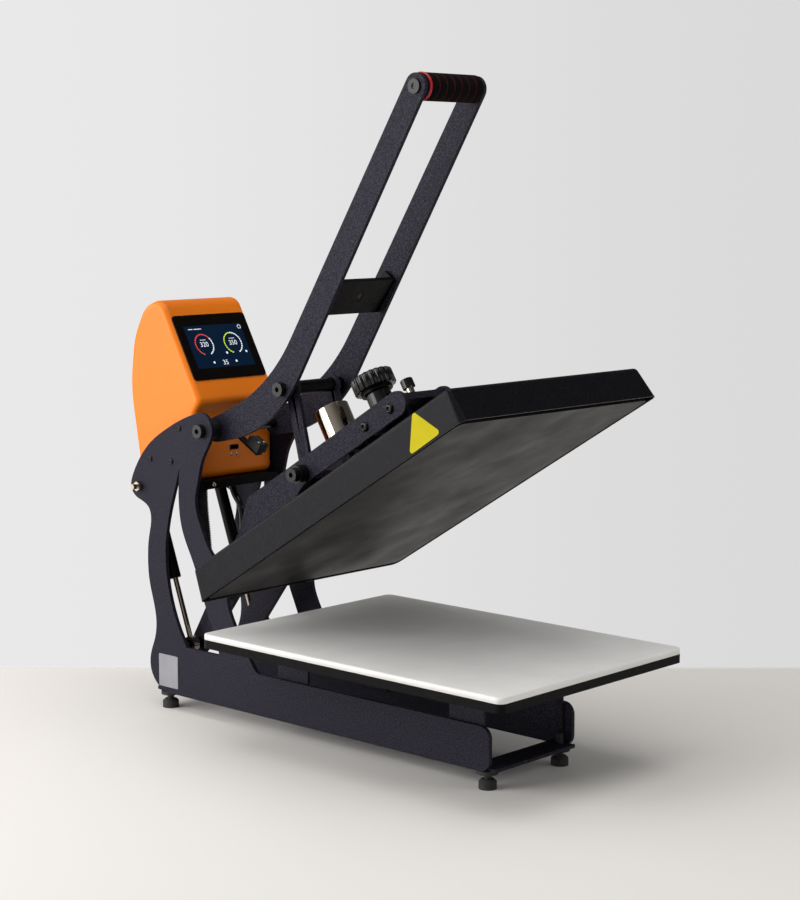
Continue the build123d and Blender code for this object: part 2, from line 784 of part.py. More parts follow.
with BuildPart() as stop_post:
    head_base = bridge_top + stop_post_rise
    along_platen(stop_post_diameter / 2, stop_post_forward, 0, bridge_top, head_base)
    along_platen(
        stop_post_head_diameter / 2, stop_post_forward, 0,
        head_base, head_base + stop_post_head_height,
    )
    chamfer(stop_post.edges().filter_by(GeomType.CIRCLE).sort_by(platen_up)[-1], cut_over)
write(stop_post, "stop_post")

# Gas springs: cylinders hang from the side plates, rods push the lever tails
spring_run = spring_pin_y - spring_mount_y
spring_rise = spring_pin_z - spring_mount_z
spring_dir = (0, spring_run / spring_length, spring_rise / spring_length)


def along_spring(side, radius, start, end, mode=Mode.ADD):
    """Cylinder along a gas spring, between two distances from its upper mount."""
    origin = (
        side * spring_x,
        spring_mount_y + spring_dir[1] * start,
        spring_mount_z + spring_dir[2] * start,
    )
    with Locations(Plane(origin=origin, x_dir=(1, 0, 0), z_dir=spring_dir).location):
        Cylinder(radius, end - start, align=(Align.CENTER, Align.CENTER, Align.MIN), mode=mode)


bore_radius = spring_cylinder_diameter / 2 - spring_cylinder_wall
for side_name, side in SIDES:
    eye_in = side * (spring_x - spring_eye_width / 2)
    eye_out = side * (spring_x + spring_eye_width / 2)
    with BuildPart() as cylinder:
        along_spring(side, spring_cylinder_diameter / 2, spring_neck, spring_cylinder_length)
        along_spring(side, spring_eye_width / 2, 0, spring_neck)
        along_x(spring_eye_radius, eye_in, eye_out, spring_mount_y, spring_mount_z)
        along_x(
            spring_pin_diameter / 2 + running_fit, eye_in, eye_out,
            spring_mount_y, spring_mount_z, mode=Mode.SUBTRACT,
        )
        along_spring(
            side, bore_radius, spring_neck + spring_piston_length,
            spring_cylinder_length - spring_cylinder_wall, mode=Mode.SUBTRACT,
        )
        along_spring(
            side, spring_rod_diameter / 2 + running_fit, spring_neck + spring_piston_length,
            spring_cylinder_length + cut_over, mode=Mode.SUBTRACT,
        )
    write(cylinder, side_name + "_spring_cylinder")
    with BuildPart() as rod:
        rod_start = spring_cylinder_length - spring_rod_engaged
        along_spring(side, spring_rod_diameter / 2, rod_start, spring_length)
        along_spring(side, bore_radius - running_fit, rod_start, rod_start + spring_piston_length)
        along_x(spring_end_eye_radius, eye_in, eye_out, spring_pin_y, spring_pin_z)
        along_x(
            spring_pin_diameter / 2 + spring_end_play, eye_in, eye_out,
            spring_pin_y, spring_pin_z, mode=Mode.SUBTRACT,
        )
    write(rod, side_name + "_spring_rod")

with BuildPart() as mount_pins:
    for side_name, side in SIDES:
        pin_start = side * (spring_x - spring_eye_width / 2 - cut_over)
        nut_start = side * frame_width / 2
        pin_end = nut_start + side * spring_pin_stand
        washer_start = side * (spring_x + spring_eye_width / 2 + seat_gap)
        along_x(spring_pin_diameter / 2, pin_start, pin_end, spring_mount_y, spring_mount_z)
        along_x(spring_collar_diameter / 2, washer_start, side * plate_inside, spring_mount_y, spring_mount_z)
        nut_base = min(nut_start, nut_start + side * spring_nut_height)
        with Locations(Location((nut_base, spring_mount_y, spring_mount_z), (0, 90, 0))):
            add(nut_blank)
write(mount_pins, "spring_upper_pins")

# Lower platen: silicone pad, aluminium plate and two bent supports on the base beams
with BuildPart() as pad:
    with BuildSketch(Plane.XY.offset(press_plane - seat_gap)):
        with Locations((0, lower_centre_y)):
            RectangleRounded(lower_width, lower_depth, lower_corner)
    extrude(amount=-pad_thickness)
write(pad, "silicone_pad")

lower_top = press_plane - seat_gap - pad_thickness
with BuildPart() as lower_platen:
    with BuildSketch(Plane.XY.offset(lower_top)):
        with Locations((0, lower_centre_y)):
            RectangleRounded(lower_width, lower_depth, lower_corner)
    extrude(amount=-lower_thickness)
write(lower_platen, "lower_platen")

support_top = lower_top - lower_thickness
support_foot_z = base_top - support_foot
support_inside = plate_inside - support_wall
with BuildPart() as supports:
    for support_y in (support_front_y, support_front_y + support_spacing):
        with BuildSketch(Plane.XZ.offset(-support_y - support_width / 2)):
            with BuildLine():
                Polyline(
                    (-plate_inside, support_foot_z), (-plate_inside, support_top),
                    (plate_inside, support_top), (plate_inside, support_foot_z),
                    (support_inside, support_foot_z), (support_inside, support_top - support_wall),
                    (-support_inside, support_top - support_wall), (-support_inside, support_foot_z),
                    close=True,
                )
            make_face()
        extrude(amount=support_width)
write(supports, "platen_supports")

# Plates under the base, with a levelling foot at each corner
with BuildPart() as foot_plates:
    for foot_y in (foot_front_y, foot_rear_y):
        with BuildSketch(Plane.XY.offset(base_bottom)):
            with Locations((0, foot_y)):
                Rectangle(2 * plate_inside, foot_plate_depth)
            with Locations((-foot_spacing / 2, foot_y), (foot_spacing / 2, foot_y)):
                Circle(foot_stud_diameter / 2 + running_fit, mode=Mode.SUBTRACT)
        extrude(amount=foot_plate_thickness)
write(foot_plates, "foot_plates")

for place, foot_y in (("front", foot_front_y), ("rear", foot_rear_y)):
    for side_name, side in SIDES:
        with BuildPart() as foot:
            with Locations((side * foot_spacing / 2, foot_y)):
                Cylinder(
                    foot_body_diameter / 2, foot_body_height, align=(Align.CENTER, Align.CENTER, Align.MIN)
                )
                chamfer(foot.edges().filter_by(GeomType.CIRCLE).sort_by(Axis.Z)[-1], foot_chamfer)
                Cylinder(foot_stud_diameter / 2, foot_stud_top, align=(Align.CENTER, Align.CENTER, Align.MIN))
            with Locations((side * foot_spacing / 2, foot_y, base_bottom - running_fit)):
                Cylinder(foot_diameter / 2, foot_disc_height, align=(Align.CENTER, Align.CENTER, Align.MAX))
        write(foot, place + "_" + side_name + "_foot")

# Control box: a moulded front shell and rear cover on a tray between the side plates
box_corners = scaled(box_outline_shares, box_depth, box_rise, box_start, box_bottom)
with BuildSketch() as box_hollow:
    with BuildLine():
        FilletPolyline(*box_corners, radius=box_outline_radii, close=True)
    make_face()
    offset(amount=-box_wall, mode=Mode.REPLACE)

with BuildPart() as box_outer:
    with BuildSketch(Plane.YZ.offset(-box_width / 2)):
        offset(box_hollow.sketch_local, amount=box_wall)
    extrude(amount=box_width)
    side_edges = box_outer.edges().group_by(Axis.X)
    fillet(side_edges[0] + side_edges[-1], box_edge_radius)

with BuildPart() as box_inner:
    with BuildSketch(Plane.YZ.offset(box_wall - box_width / 2)):
        add(box_hollow.sketch_local)
    extrude(amount=box_width - 2 * box_wall)
    side_edges = box_inner.edges().group_by(Axis.X)
    fillet(side_edges[0] + side_edges[-1], box_edge_radius - box_wall)

face_line = (box_corners[4], box_corners[5])
port_y = box_corners[6][0]
face_run = (face_line[1][0] - face_line[0][0], face_line[1][1] - face_line[0][1])
face_length = hypot(*face_run)
face_down = (face_run[0] / face_length, face_run[1] / face_length)
screen_y = face_line[0][0] + screen_drop * face_down[0]
screen_z = face_line[0][1] + screen_drop * face_down[1]
screen_plane = Plane(origin=(0, screen_y, screen_z), x_dir=(1, 0, 0), z_dir=(0, face_down[1], -face_down[0]))
back_line = (box_corners[0], box_corners[1])
back_run = (back_line[1][0] - back_line[0][0], back_line[1][1] - back_line[0][1])
back_length = hypot(*back_run)
back_up = (back_run[0] / back_length, back_run[1] / back_length)


def rear_plane(x, height):
    """Plane on the flat lower back of the box, facing out; local Y runs down."""
    origin = (x, back_line[0][0] + height * back_up[0], back_line[0][1] + height * back_up[1])
    return Plane(origin=origin, x_dir=(1, 0, 0), z_dir=(0, back_up[1], -back_up[0]))


rocker_hole_width = rocker_width + 2 * (rocker_play + rocker_wall)
rocker_hole_length = rocker_length + 2 * (rocker_play + rocker_wall)
split_plane = Plane(origin=(0, box_split, 0), x_dir=(1, 0, 0), z_dir=(0, 1, 0))
with BuildPart() as front_shell:
    add(box_outer.part)
    add(box_inner.part, mode=Mode.SUBTRACT)
    split(bisect_by=split_plane, keep=Keep.BOTTOM)
    with BuildSketch(screen_plane):
        Rectangle(screen_width - window_margin, screen_height - window_margin)
    extrude(amount=-2 * box_wall, mode=Mode.SUBTRACT)
    with BuildSketch(Plane(origin=(port_x, port_y, port_z), x_dir=(1, 0, 0), z_dir=(0, -1, 0))):
        Rectangle(port_width, port_height)
    extrude(amount=-2 * box_wall, mode=Mode.SUBTRACT)
write(front_shell, "box_front_shell")

with BuildPart() as rear_cover:
    add(box_outer.part)
    add(box_inner.part, mode=Mode.SUBTRACT)
    split(bisect_by=split_plane, keep=Keep.TOP)
    with BuildSketch(rear_plane(inlet_x, inlet_up)):
        Rectangle(inlet_width, inlet_height)
    extrude(amount=-2 * box_wall, mode=Mode.SUBTRACT)
    with BuildSketch(rear_plane(rocker_x, inlet_up)):
        Rectangle(rocker_hole_width, rocker_hole_length)
    extrude(amount=-2 * box_wall, mode=Mode.SUBTRACT)
write(rear_cover, "box_rear_cover")

with BuildPart() as bezel:
    with BuildSketch(screen_plane):
        RectangleRounded(screen_width, screen_height, screen_radius)
    extrude(amount=screen_proud)
    with BuildSketch(screen_plane):
        Rectangle(screen_width - window_margin, screen_height - window_margin)
    extrude(amount=-screen_thickness)
    with BuildSketch(screen_plane.offset(screen_proud)):
        Rectangle(display_width, display_height)
    extrude(amount=-display_thickness, mode=Mode.SUBTRACT)
    with BuildSketch(screen_plane.offset(-screen_thickness)):
        with GridLocations(board_width - 2 * standoff_diameter, board_height - 2 * standoff_diameter, 2, 2):
            Circle(standoff_diameter / 2)
    extrude(amount=screen_thickness - board_gap)
write(bezel, "screen_bezel")

with BuildPart() as display:
    with BuildSketch(screen_plane.offset(screen_proud)):
        Rectangle(display_width, display_height)
    extrude(amount=-display_thickness)
write(display, "touch_display")

with BuildPart() as board:
    with BuildSketch(screen_plane.offset(-board_gap)):
        Rectangle(board_width, board_height)
    extrude(amount=-board_thickness)
write(board, "control_board")

with BuildPart() as port:
    with BuildSketch(Plane(origin=(port_x, port_y, port_z), x_dir=(1, 0, 0), z_dir=(0, -1, 0))):
        Rectangle(port_width, port_height)
        Rectangle(port_width - box_wall, port_height - box_wall, mode=Mode.SUBTRACT)
    extrude(amount=-port_depth)
    with BuildSketch(Plane(origin=(port_x, port_y + port_depth, port_z), x_dir=(1, 0, 0), z_dir=(0, 1, 0))):
        Rectangle(port_width, port_height)
    extrude(amount=box_wall)
write(port, "service_port")

with BuildPart() as inlet:
    with BuildSketch(rear_plane(inlet_x, inlet_up)):
        Rectangle(inlet_flange_width, inlet_height + 2 * inlet_flange)
    extrude(amount=inlet_flange)
    with BuildSketch(rear_plane(inlet_x, inlet_up)):
        Rectangle(inlet_width, inlet_height)
    extrude(amount=-inlet_depth)
    with BuildSketch(rear_plane(inlet_x, inlet_up).offset(inlet_flange)):
        RectangleRounded(inlet_socket_width, inlet_socket_height, inlet_socket_radius)
    extrude(amount=-inlet_socket_depth, mode=Mode.SUBTRACT)
    with BuildSketch(rear_plane(inlet_x, inlet_up).offset(inlet_flange - inlet_socket_depth)):
        with Locations(*inlet_pin_places):
            Rectangle(inlet_pin_width, inlet_pin_height)
    extrude(amount=inlet_pin_length)
write(inlet, "mains_inlet")

with BuildPart() as rocker_housing:
    with BuildSketch(rear_plane(rocker_x, inlet_up)):
        Rectangle(rocker_hole_width + 2 * rocker_wall, rocker_hole_length + 2 * rocker_wall)
    extrude(amount=rocker_flange)
    with BuildSketch(rear_plane(rocker_x, inlet_up)):
        Rectangle(rocker_hole_width, rocker_hole_length)
    extrude(amount=-rocker_depth - rocker_wall)
    with BuildSketch(rear_plane(rocker_x, inlet_up).offset(rocker_flange)):
        Rectangle(rocker_width + 2 * rocker_play, rocker_length + 2 * rocker_play)
    extrude(amount=-rocker_flange - rocker_depth, mode=Mode.SUBTRACT)
write(rocker_housing, "power_switch_housing")

rocker_base = rear_plane(rocker_x, inlet_up)
rocker_origin = rocker_base.origin
rocker_tilt = radians(rocker_swing / 2)
rocker_out = rocker_base.z_dir * cos(rocker_tilt) + rocker_base.y_dir * sin(rocker_tilt)
with BuildPart() as rocker:
    rocker_along = rocker_base.x_dir.cross(rocker_out)
    rocker_side = Plane(origin=rocker_origin, x_dir=rocker_along, z_dir=rocker_base.x_dir)
    with BuildSketch(rocker_side):
        rise = rocker_length / 2 * tan(rocker_tilt)
        with BuildLine():
            Polyline(
                (-rocker_length / 2, rise + rocker_travel), (0, rocker_travel),
                (rocker_length / 2, rise + rocker_travel), (rocker_length / 2, -rocker_travel),
                (0, -rocker_depth / 2), (-rocker_length / 2, -rocker_travel), close=True,
            )
        make_face()
    extrude(amount=rocker_width / 2, both=True)
write(rocker, "power_rocker")

with BuildPart() as tray:
    with BuildSketch(Plane.YZ):
        with BuildLine():
            Polyline(
                (tray_front, box_bottom), (tray_front, box_bottom - tray_lip),
                (tray_front + tray_thickness, box_bottom - tray_lip),
                (tray_front + tray_thickness, box_bottom - tray_thickness),
                (tray_front + tray_depth, box_bottom - tray_thickness),
                (tray_front + tray_depth, box_bottom), close=True,
            )
        make_face()
    extrude(amount=plate_inside, both=True)
write(tray, "box_tray")

with BuildPart() as box_spacers:
    for side_name, side in SIDES:
        for y, z in scaled(spacer_shares, box_depth, box_rise, box_start, box_bottom):
            along_x(spacer_diameter / 2, side * box_width / 2, side * plate_inside, y, z)
write(box_spacers, "box_spacers")

# Handle switch: a strip clamped on the handle shaft with a small switch at its end
strip_length = hypot(switch_forward, switch_down)
strip_angle = degrees(atan2(-switch_down, -switch_forward))
switch_end = (handle_pivot_y - switch_forward, handle_pivot_z - switch_down)
strip_middle = (handle_pivot_y - switch_forward / 2, handle_pivot_z - switch_down / 2)
with BuildPart() as switch_bracket:
    with BuildSketch(Plane.YZ.offset(switch_x - switch_strip_width / 2)):
        with Locations(pivot):
            Circle(shaft_diameter / 2 + switch_ring_wall)
        with Locations(Location(strip_middle, strip_angle)):
            Rectangle(strip_length, switch_strip_thickness)
        with Locations(pivot):
            Circle(shaft_diameter / 2, mode=Mode.SUBTRACT)
    extrude(amount=switch_strip_width)
write(switch_bracket, "switch_bracket")

with BuildPart() as handle_switch:
    with BuildSketch(Plane.YZ.offset(switch_x - switch_width / 2)):
        with Locations(Location(switch_end, strip_angle)):
            with Locations((-switch_length / 2, (switch_height + switch_strip_thickness) / 2)):
                Rectangle(switch_length, switch_height)
    extrude(amount=switch_width)
write(handle_switch, "handle_switch")


def bend_radii(points):
    """Radius of each bend, from its shorter run and half its turn."""
    radii = []
    for before, corner, after in zip(points, points[1:], points[2:]):
        run_in = Vector(*corner) - Vector(*before)
        run_out = Vector(*after) - Vector(*corner)
        turn = radians(run_in.get_angle(run_out))
        radii.append(bend_share * min(run_in.length, run_out.length) / tan(turn / 2))
    return radii


# Leads: the heater conduit and the sensor lead, each from a gland under the tray to one on the cover
wall_out = Vector(0, tilt_cos, -tilt_sin)
wall_taper = radians(cover_taper)
wall_normal = wall_out * cos(wall_taper) + Vector(0, tilt_sin, tilt_cos) * sin(wall_taper)
wall_plane = Plane(origin=(0, rim_y, rim_z), x_dir=(1, 0, 0), z_dir=wall_normal)
tray_base = box_bottom - tray_thickness
conduit_y = box_start + conduit_setback
lead_y = box_start + lead_setback
leads = (
    ("heater_conduit", conduit_diameter, conduit_x, conduit_y, conduit_route_shares, conduit_entry_up),
    ("sensor_lead", lead_diameter, lead_x, lead_y, lead_route_shares, lead_entry_up),
)
wall_ends = []
for name, diameter, x, start_y, shares, entry_up in leads:
    end_y, end_z = on_platen(entry_up * tan(wall_taper), entry_up)
    wall_end = Vector(x, end_y, end_z)
    wall_ends.append(wall_end)
    start = Vector(x, start_y, tray_base - gland_height)
    bend_end = wall_end + wall_out * wall_run
    drop = bend_end - start
    points = [tuple(start)]
    points += [(x, start.Y + a * drop.Y, start.Z + b * drop.Z) for a, b in shares]
    points += [tuple(bend_end), tuple(wall_end + wall_out * gland_height)]
    with BuildPart() as lead:
        with BuildLine() as lead_path:
            FilletPolyline(*points, radius=bend_radii(points))
        with BuildSketch(Plane(origin=lead_path.line @ 0, z_dir=lead_path.line % 0)):
            Circle(diameter / 2)
        sweep()
    write(lead, name)

with BuildPart() as tray_glands:
    for x, y, gland_size in ((conduit_x, conduit_y, gland_diameter), (lead_x, lead_y, lead_gland_diameter)):
        with Locations((x, y, tray_base)):
            Cylinder(gland_size / 2, gland_height, align=(Align.CENTER, Align.CENTER, Align.MAX))
write(tray_glands, "tray_glands")

with BuildPart() as cover_glands:
    for wall_end, gland_size in zip(wall_ends, (gland_diameter, lead_gland_diameter)):
        with Locations(Plane(origin=wall_end - wall_out * gland_height, z_dir=wall_out).location):
            Cylinder(gland_size / 2, 2 * gland_height, align=(Align.CENTER, Align.CENTER, Align.MIN))
    split(bisect_by=wall_plane, keep=Keep.TOP)
write(cover_glands, "cover_glands")
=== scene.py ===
"""Looks of the flat heat press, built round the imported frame. Lengths are written in millimetres."""
import math

import bmesh
import bpy
from mathutils import Matrix, Vector


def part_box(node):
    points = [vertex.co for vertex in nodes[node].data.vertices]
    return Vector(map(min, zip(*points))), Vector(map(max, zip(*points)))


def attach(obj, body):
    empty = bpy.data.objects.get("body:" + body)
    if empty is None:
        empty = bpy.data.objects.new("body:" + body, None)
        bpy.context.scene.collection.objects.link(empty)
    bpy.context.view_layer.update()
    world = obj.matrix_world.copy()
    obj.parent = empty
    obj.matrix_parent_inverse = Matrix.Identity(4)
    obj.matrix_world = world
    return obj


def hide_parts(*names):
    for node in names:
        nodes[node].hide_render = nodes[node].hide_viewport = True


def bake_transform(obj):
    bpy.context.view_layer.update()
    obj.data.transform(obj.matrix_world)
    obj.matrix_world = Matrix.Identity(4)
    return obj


MM = 0.001
LEFT, RIGHT = -1, 1
SIDES = (LEFT, RIGHT)

# The upper platen's frame, as in the part's source
OPEN_ANGLE = math.radians(31.19)
HINGE = Vector((0, 212, 212))
HINGE_BACK = 71.65
HINGE_UP = 51.56
COVER_HALF_WIDTH = 200
COVER_TAPER = math.radians(8.3)

# Photograph's camera
CAMERA_PLACE = (-2044.1, -1954.5, 772.6)
CAMERA_TURN = math.radians(-47.30)
CAMERA_TILT = math.radians(90 - 7.32)
SENSOR_WIDTH = 36
FOCAL_PIXELS = 2046.5
FRAME_PIXELS = 800

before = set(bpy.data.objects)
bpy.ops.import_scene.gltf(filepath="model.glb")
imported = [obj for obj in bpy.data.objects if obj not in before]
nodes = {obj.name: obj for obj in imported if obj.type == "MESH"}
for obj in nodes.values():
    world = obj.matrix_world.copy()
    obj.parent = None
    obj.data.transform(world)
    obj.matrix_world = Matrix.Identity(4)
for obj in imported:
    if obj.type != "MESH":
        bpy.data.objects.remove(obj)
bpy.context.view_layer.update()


def on_platen(x, forward, up):
    """Place, in metres, of a point given across, forward and up from the upper platen's rim."""
    sine, cosine = math.sin(OPEN_ANGLE), math.cos(OPEN_ANGLE)
    along = -HINGE_BACK - forward
    above = up - HINGE_UP
    return Vector((x, HINGE.y + along * cosine + above * sine, HINGE.z - along * sine + above * cosine)) * MM


def place(x, y, z):
    return Vector((x, y, z)) * MM


# Materials
MATERIALS = {}


class Finish:
    """A procedural material of the table: a principled shader with noise for colour, roughness and bump."""

    def __init__(self, name, color, roughness, metallic=0.0, coat=0.0, specular=0.5):
        material = bpy.data.materials.new(name)
        material.use_nodes = True
        MATERIALS[name] = material
        self.nodes = material.node_tree.nodes
        self.links = material.node_tree.links
        self.shader = self.nodes["Principled BSDF"]
        self.shader.inputs["Base Color"].default_value = (*color, 1)
        self.shader.inputs["Roughness"].default_value = roughness
        self.shader.inputs["Metallic"].default_value = metallic
        self.shader.inputs["Coat Weight"].default_value = coat
        self.shader.inputs["Specular IOR Level"].default_value = specular
        self.color = color
        self.coordinates = self.nodes.new("ShaderNodeTexCoord").outputs["Object"]
        self.last_normal = None

    def noise(self, scale, detail=2.0, stretch=(1, 1, 1), rough=0.5):
        mapping = self.nodes.new("ShaderNodeMapping")
        mapping.inputs["Scale"].default_value = stretch
        self.links.new(self.coordinates, mapping.inputs["Vector"])
        noise = self.nodes.new("ShaderNodeTexNoise")
        noise.inputs["Scale"].default_value = scale
        noise.inputs["Detail"].default_value = detail
        noise.inputs["Roughness"].default_value = rough
        self.links.new(mapping.outputs["Vector"], noise.inputs["Vector"])
        return noise.outputs["Fac"]

    def cells(self, scale):
        cells = self.nodes.new("ShaderNodeTexVoronoi")
        cells.inputs["Scale"].default_value = scale
        self.links.new(self.coordinates, cells.inputs["Vector"])
        return cells.outputs["Distance"]

    def ramp(self, value, stops):
        ramp = self.nodes.new("ShaderNodeValToRGB")
        elements = ramp.color_ramp.elements
        while len(elements) < len(stops):
            elements.new(0.5)
        for element, (position, color) in zip(elements, stops):
            element.position = position
            element.color = (*color, 1)
        self.links.new(value, ramp.inputs["Fac"])
        return ramp.outputs["Color"]

    def spread(self, value, low, high):
        spread = self.nodes.new("ShaderNodeMapRange")
        spread.inputs["From Min"].default_value = 0.3
        spread.inputs["From Max"].default_value = 0.7
        spread.inputs["To Min"].default_value = low
        spread.inputs["To Max"].default_value = high
        self.links.new(value, spread.inputs["Value"])
        return spread.outputs["Result"]

    def paint(self, color_output):
        self.links.new(color_output, self.shader.inputs["Base Color"])
        return self

    def tint(self, scale, dark, light, detail=2.0, stretch=(1, 1, 1)):
        """Colour that drifts between dark and light shares of the base colour."""
        low = tuple(channel * dark for channel in self.color)
        high = tuple(min(1, channel * light) for channel in self.color)
        return self.paint(self.ramp(self.noise(scale, detail, stretch), ((0.3, low), (0.7, high))))

    def wear(self, scale, low, high, stretch=(1, 1, 1)):
        value = self.spread(self.noise(scale, 3.0, stretch), low, high)
        self.links.new(value, self.shader.inputs["Roughness"])
        return self

    def bump(self, height, strength, distance):
        bump = self.nodes.new("ShaderNodeBump")
        bump.inputs["Strength"].default_value = strength
        bump.inputs["Distance"].default_value = distance * MM
        self.links.new(height, bump.inputs["Height"])
        if self.last_normal is not None:
            self.links.new(self.last_normal, bump.inputs["Normal"])
        self.last_normal = bump.outputs["Normal"]
        self.links.new(self.last_normal, self.shader.inputs["Normal"])
        return self

    def grain(self, scale, strength, distance, detail=2.0, stretch=(1, 1, 1)):
        return self.bump(self.noise(scale, detail, stretch), strength, distance)

    def pits(self, scale, strength, distance):
        return self.bump(self.cells(scale), strength, distance)

    def glow(self, color, strength):
        self.shader.inputs["Emission Color"].default_value = (*color, 1)
        self.shader.inputs["Emission Strength"].default_value = strength
        return self


def powder_coat(name, base, fleck, roughness, specular):
    """Textured black coat: pale specks in a dark ground, with a fine orange-peel bump."""
    coat = Finish(name, base, roughness, specular=specular)
    specks = coat.noise(640, 3.0, rough=0.75)
    coat.paint(coat.ramp(specks, ((0.44, base), (0.66, fleck), (0.74, fleck))))
    coat.wear(300, roughness - 0.08, roughness + 0.1)
    coat.bump(coat.noise(520, 3.0, rough=0.6), 0.35, 0.25)


def make_materials():
    powder_coat("coat", (0.0075, 0.0068, 0.0102), (0.048, 0.044, 0.068), 0.5, 0.08)
    powder_coat("cover_coat", (0.004, 0.0037, 0.0046), (0.013, 0.012, 0.0162), 0.32, 0.07)

    smooth_paint = Finish("smooth_paint", (0.003, 0.0028, 0.003), 0.4, specular=0.08)
    smooth_paint.tint(120, 0.7, 1.4).wear(160, 0.3, 0.48).grain(900, 0.12, 0.08)

    nonstick = Finish("nonstick", (0.0135, 0.0122, 0.012), 0.42, metallic=0.1, specular=0.14)
    nonstick.tint(9, 0.75, 1.3, detail=4.0, stretch=(1, 0.25, 0.25)).wear(14, 0.34, 0.5)
    nonstick.grain(1400, 0.15, 0.06)

    steel = Finish("steel", (0.58, 0.57, 0.56), 0.3, metallic=1.0)
    steel.tint(90, 0.85, 1.1, stretch=(1, 8, 8)).wear(240, 0.22, 0.4, stretch=(1, 10, 10))
    steel.grain(700, 0.12, 0.03, stretch=(1, 14, 14))

    chrome = Finish("chrome", (0.52, 0.45, 0.37), 0.12, metallic=1.0)
    chrome.tint(25, 0.94, 1.06).wear(60, 0.05, 0.13).grain(300, 0.04, 0.02)

    blackened = Finish("blackened_steel", (0.006, 0.0058, 0.006), 0.24, specular=0.3)
    blackened.tint(260, 0.7, 1.5).wear(420, 0.16, 0.32).grain(900, 0.15, 0.05)

    orange = Finish("orange_shell", (0.86, 0.2, 0.0012), 0.42, coat=0.4, specular=0.12)
    orange.shader.inputs["Coat Roughness"].default_value = 0.3
    orange.shader.inputs["Subsurface Weight"].default_value = 0.08
    orange.shader.inputs["Subsurface Radius"].default_value = (0.006, 0.002, 0.0004)
    orange.tint(6, 0.93, 1.05, detail=3.0).wear(30, 0.42, 0.56).grain(260, 0.06, 0.1, detail=3.0)

    matte = Finish("matte_plastic", (0.008, 0.008, 0.008), 0.45, specular=0.3)
    matte.tint(300, 0.8, 1.3).wear(500, 0.38, 0.52).grain(1600, 0.2, 0.05)

    gloss = Finish("gloss_plastic", (0.005, 0.005, 0.005), 0.2, specular=0.4)
    gloss.tint(200, 0.8, 1.3).wear(90, 0.1, 0.24).grain(400, 0.05, 0.04)

    bezel = Finish("bezel_glass", (0.0035, 0.0022, 0.0018), 0.3, specular=0.12)
    bezel.tint(200, 0.8, 1.3).wear(90, 0.24, 0.36).grain(400, 0.04, 0.03)

    rubber = Finish("rubber", (0.016, 0.0155, 0.015), 0.7)
    rubber.tint(150, 0.8, 1.3).wear(260, 0.6, 0.8).grain(1200, 0.25, 0.06)

    foam = Finish("foam", (0.0035, 0.002, 0.0023), 0.85, specular=0.08)
    foam.tint(110, 0.7, 1.5).pits(850, 0.5, 0.35).grain(260, 0.25, 0.4)

    groove = Finish("red_groove", (0.09, 0.003, 0.004), 0.7, specular=0.2)
    groove.tint(200, 0.7, 1.3).pits(850, 0.4, 0.3)

    red = Finish("red_rubber", (0.42, 0.006, 0.012), 0.45)
    red.tint(160, 0.85, 1.15).wear(300, 0.34, 0.48).grain(900, 0.12, 0.05)

    silicone = Finish("silicone", (0.84, 0.83, 0.805), 0.6)
    silicone.tint(12, 0.95, 1.03, detail=4.0).wear(200, 0.52, 0.68).grain(700, 0.25, 0.12, detail=4.0)

    blanket = Finish("blanket", (0.7, 0.66, 0.55), 0.9)
    blanket.tint(40, 0.8, 1.1, detail=6.0).grain(350, 0.6, 0.8, detail=6.0)

    board = Finish("board", (0.01, 0.12, 0.035), 0.4)
    board.tint(120, 0.7, 1.3).wear(200, 0.3, 0.5).pits(220, 0.2, 0.1)

    glass = Finish("screen_glass", (0.002, 0.009, 0.028), 0.25, specular=0.04)
    glass.tint(5, 0.85, 1.15).wear(18, 0.2, 0.3).grain(60, 0.01, 0.02)
    glass.glow((0.006, 0.018, 0.04), 0.3)

    for name, color in (
        ("lit_white", (0.75, 0.8, 0.85)), ("lit_red", (0.75, 0.05, 0.03)), ("lit_green", (0.55, 0.75, 0.02)),
    ):
        Finish(name, color, 0.4).tint(400, 0.92, 1.08).glow(color, 0.5)

    yellow = Finish("yellow_vinyl", (0.5, 0.42, 0.003), 0.5, specular=0.06)
    yellow.tint(30, 0.95, 1.04).wear(120, 0.36, 0.5).grain(300, 0.06, 0.04)

    plate = Finish("silver_foil", (0.3, 0.3, 0.325), 0.4, metallic=0.5)
    plate.tint(40, 0.92, 1.06).wear(500, 0.28, 0.42, stretch=(1, 12, 1)).grain(300, 0.06, 0.03)


make_materials()

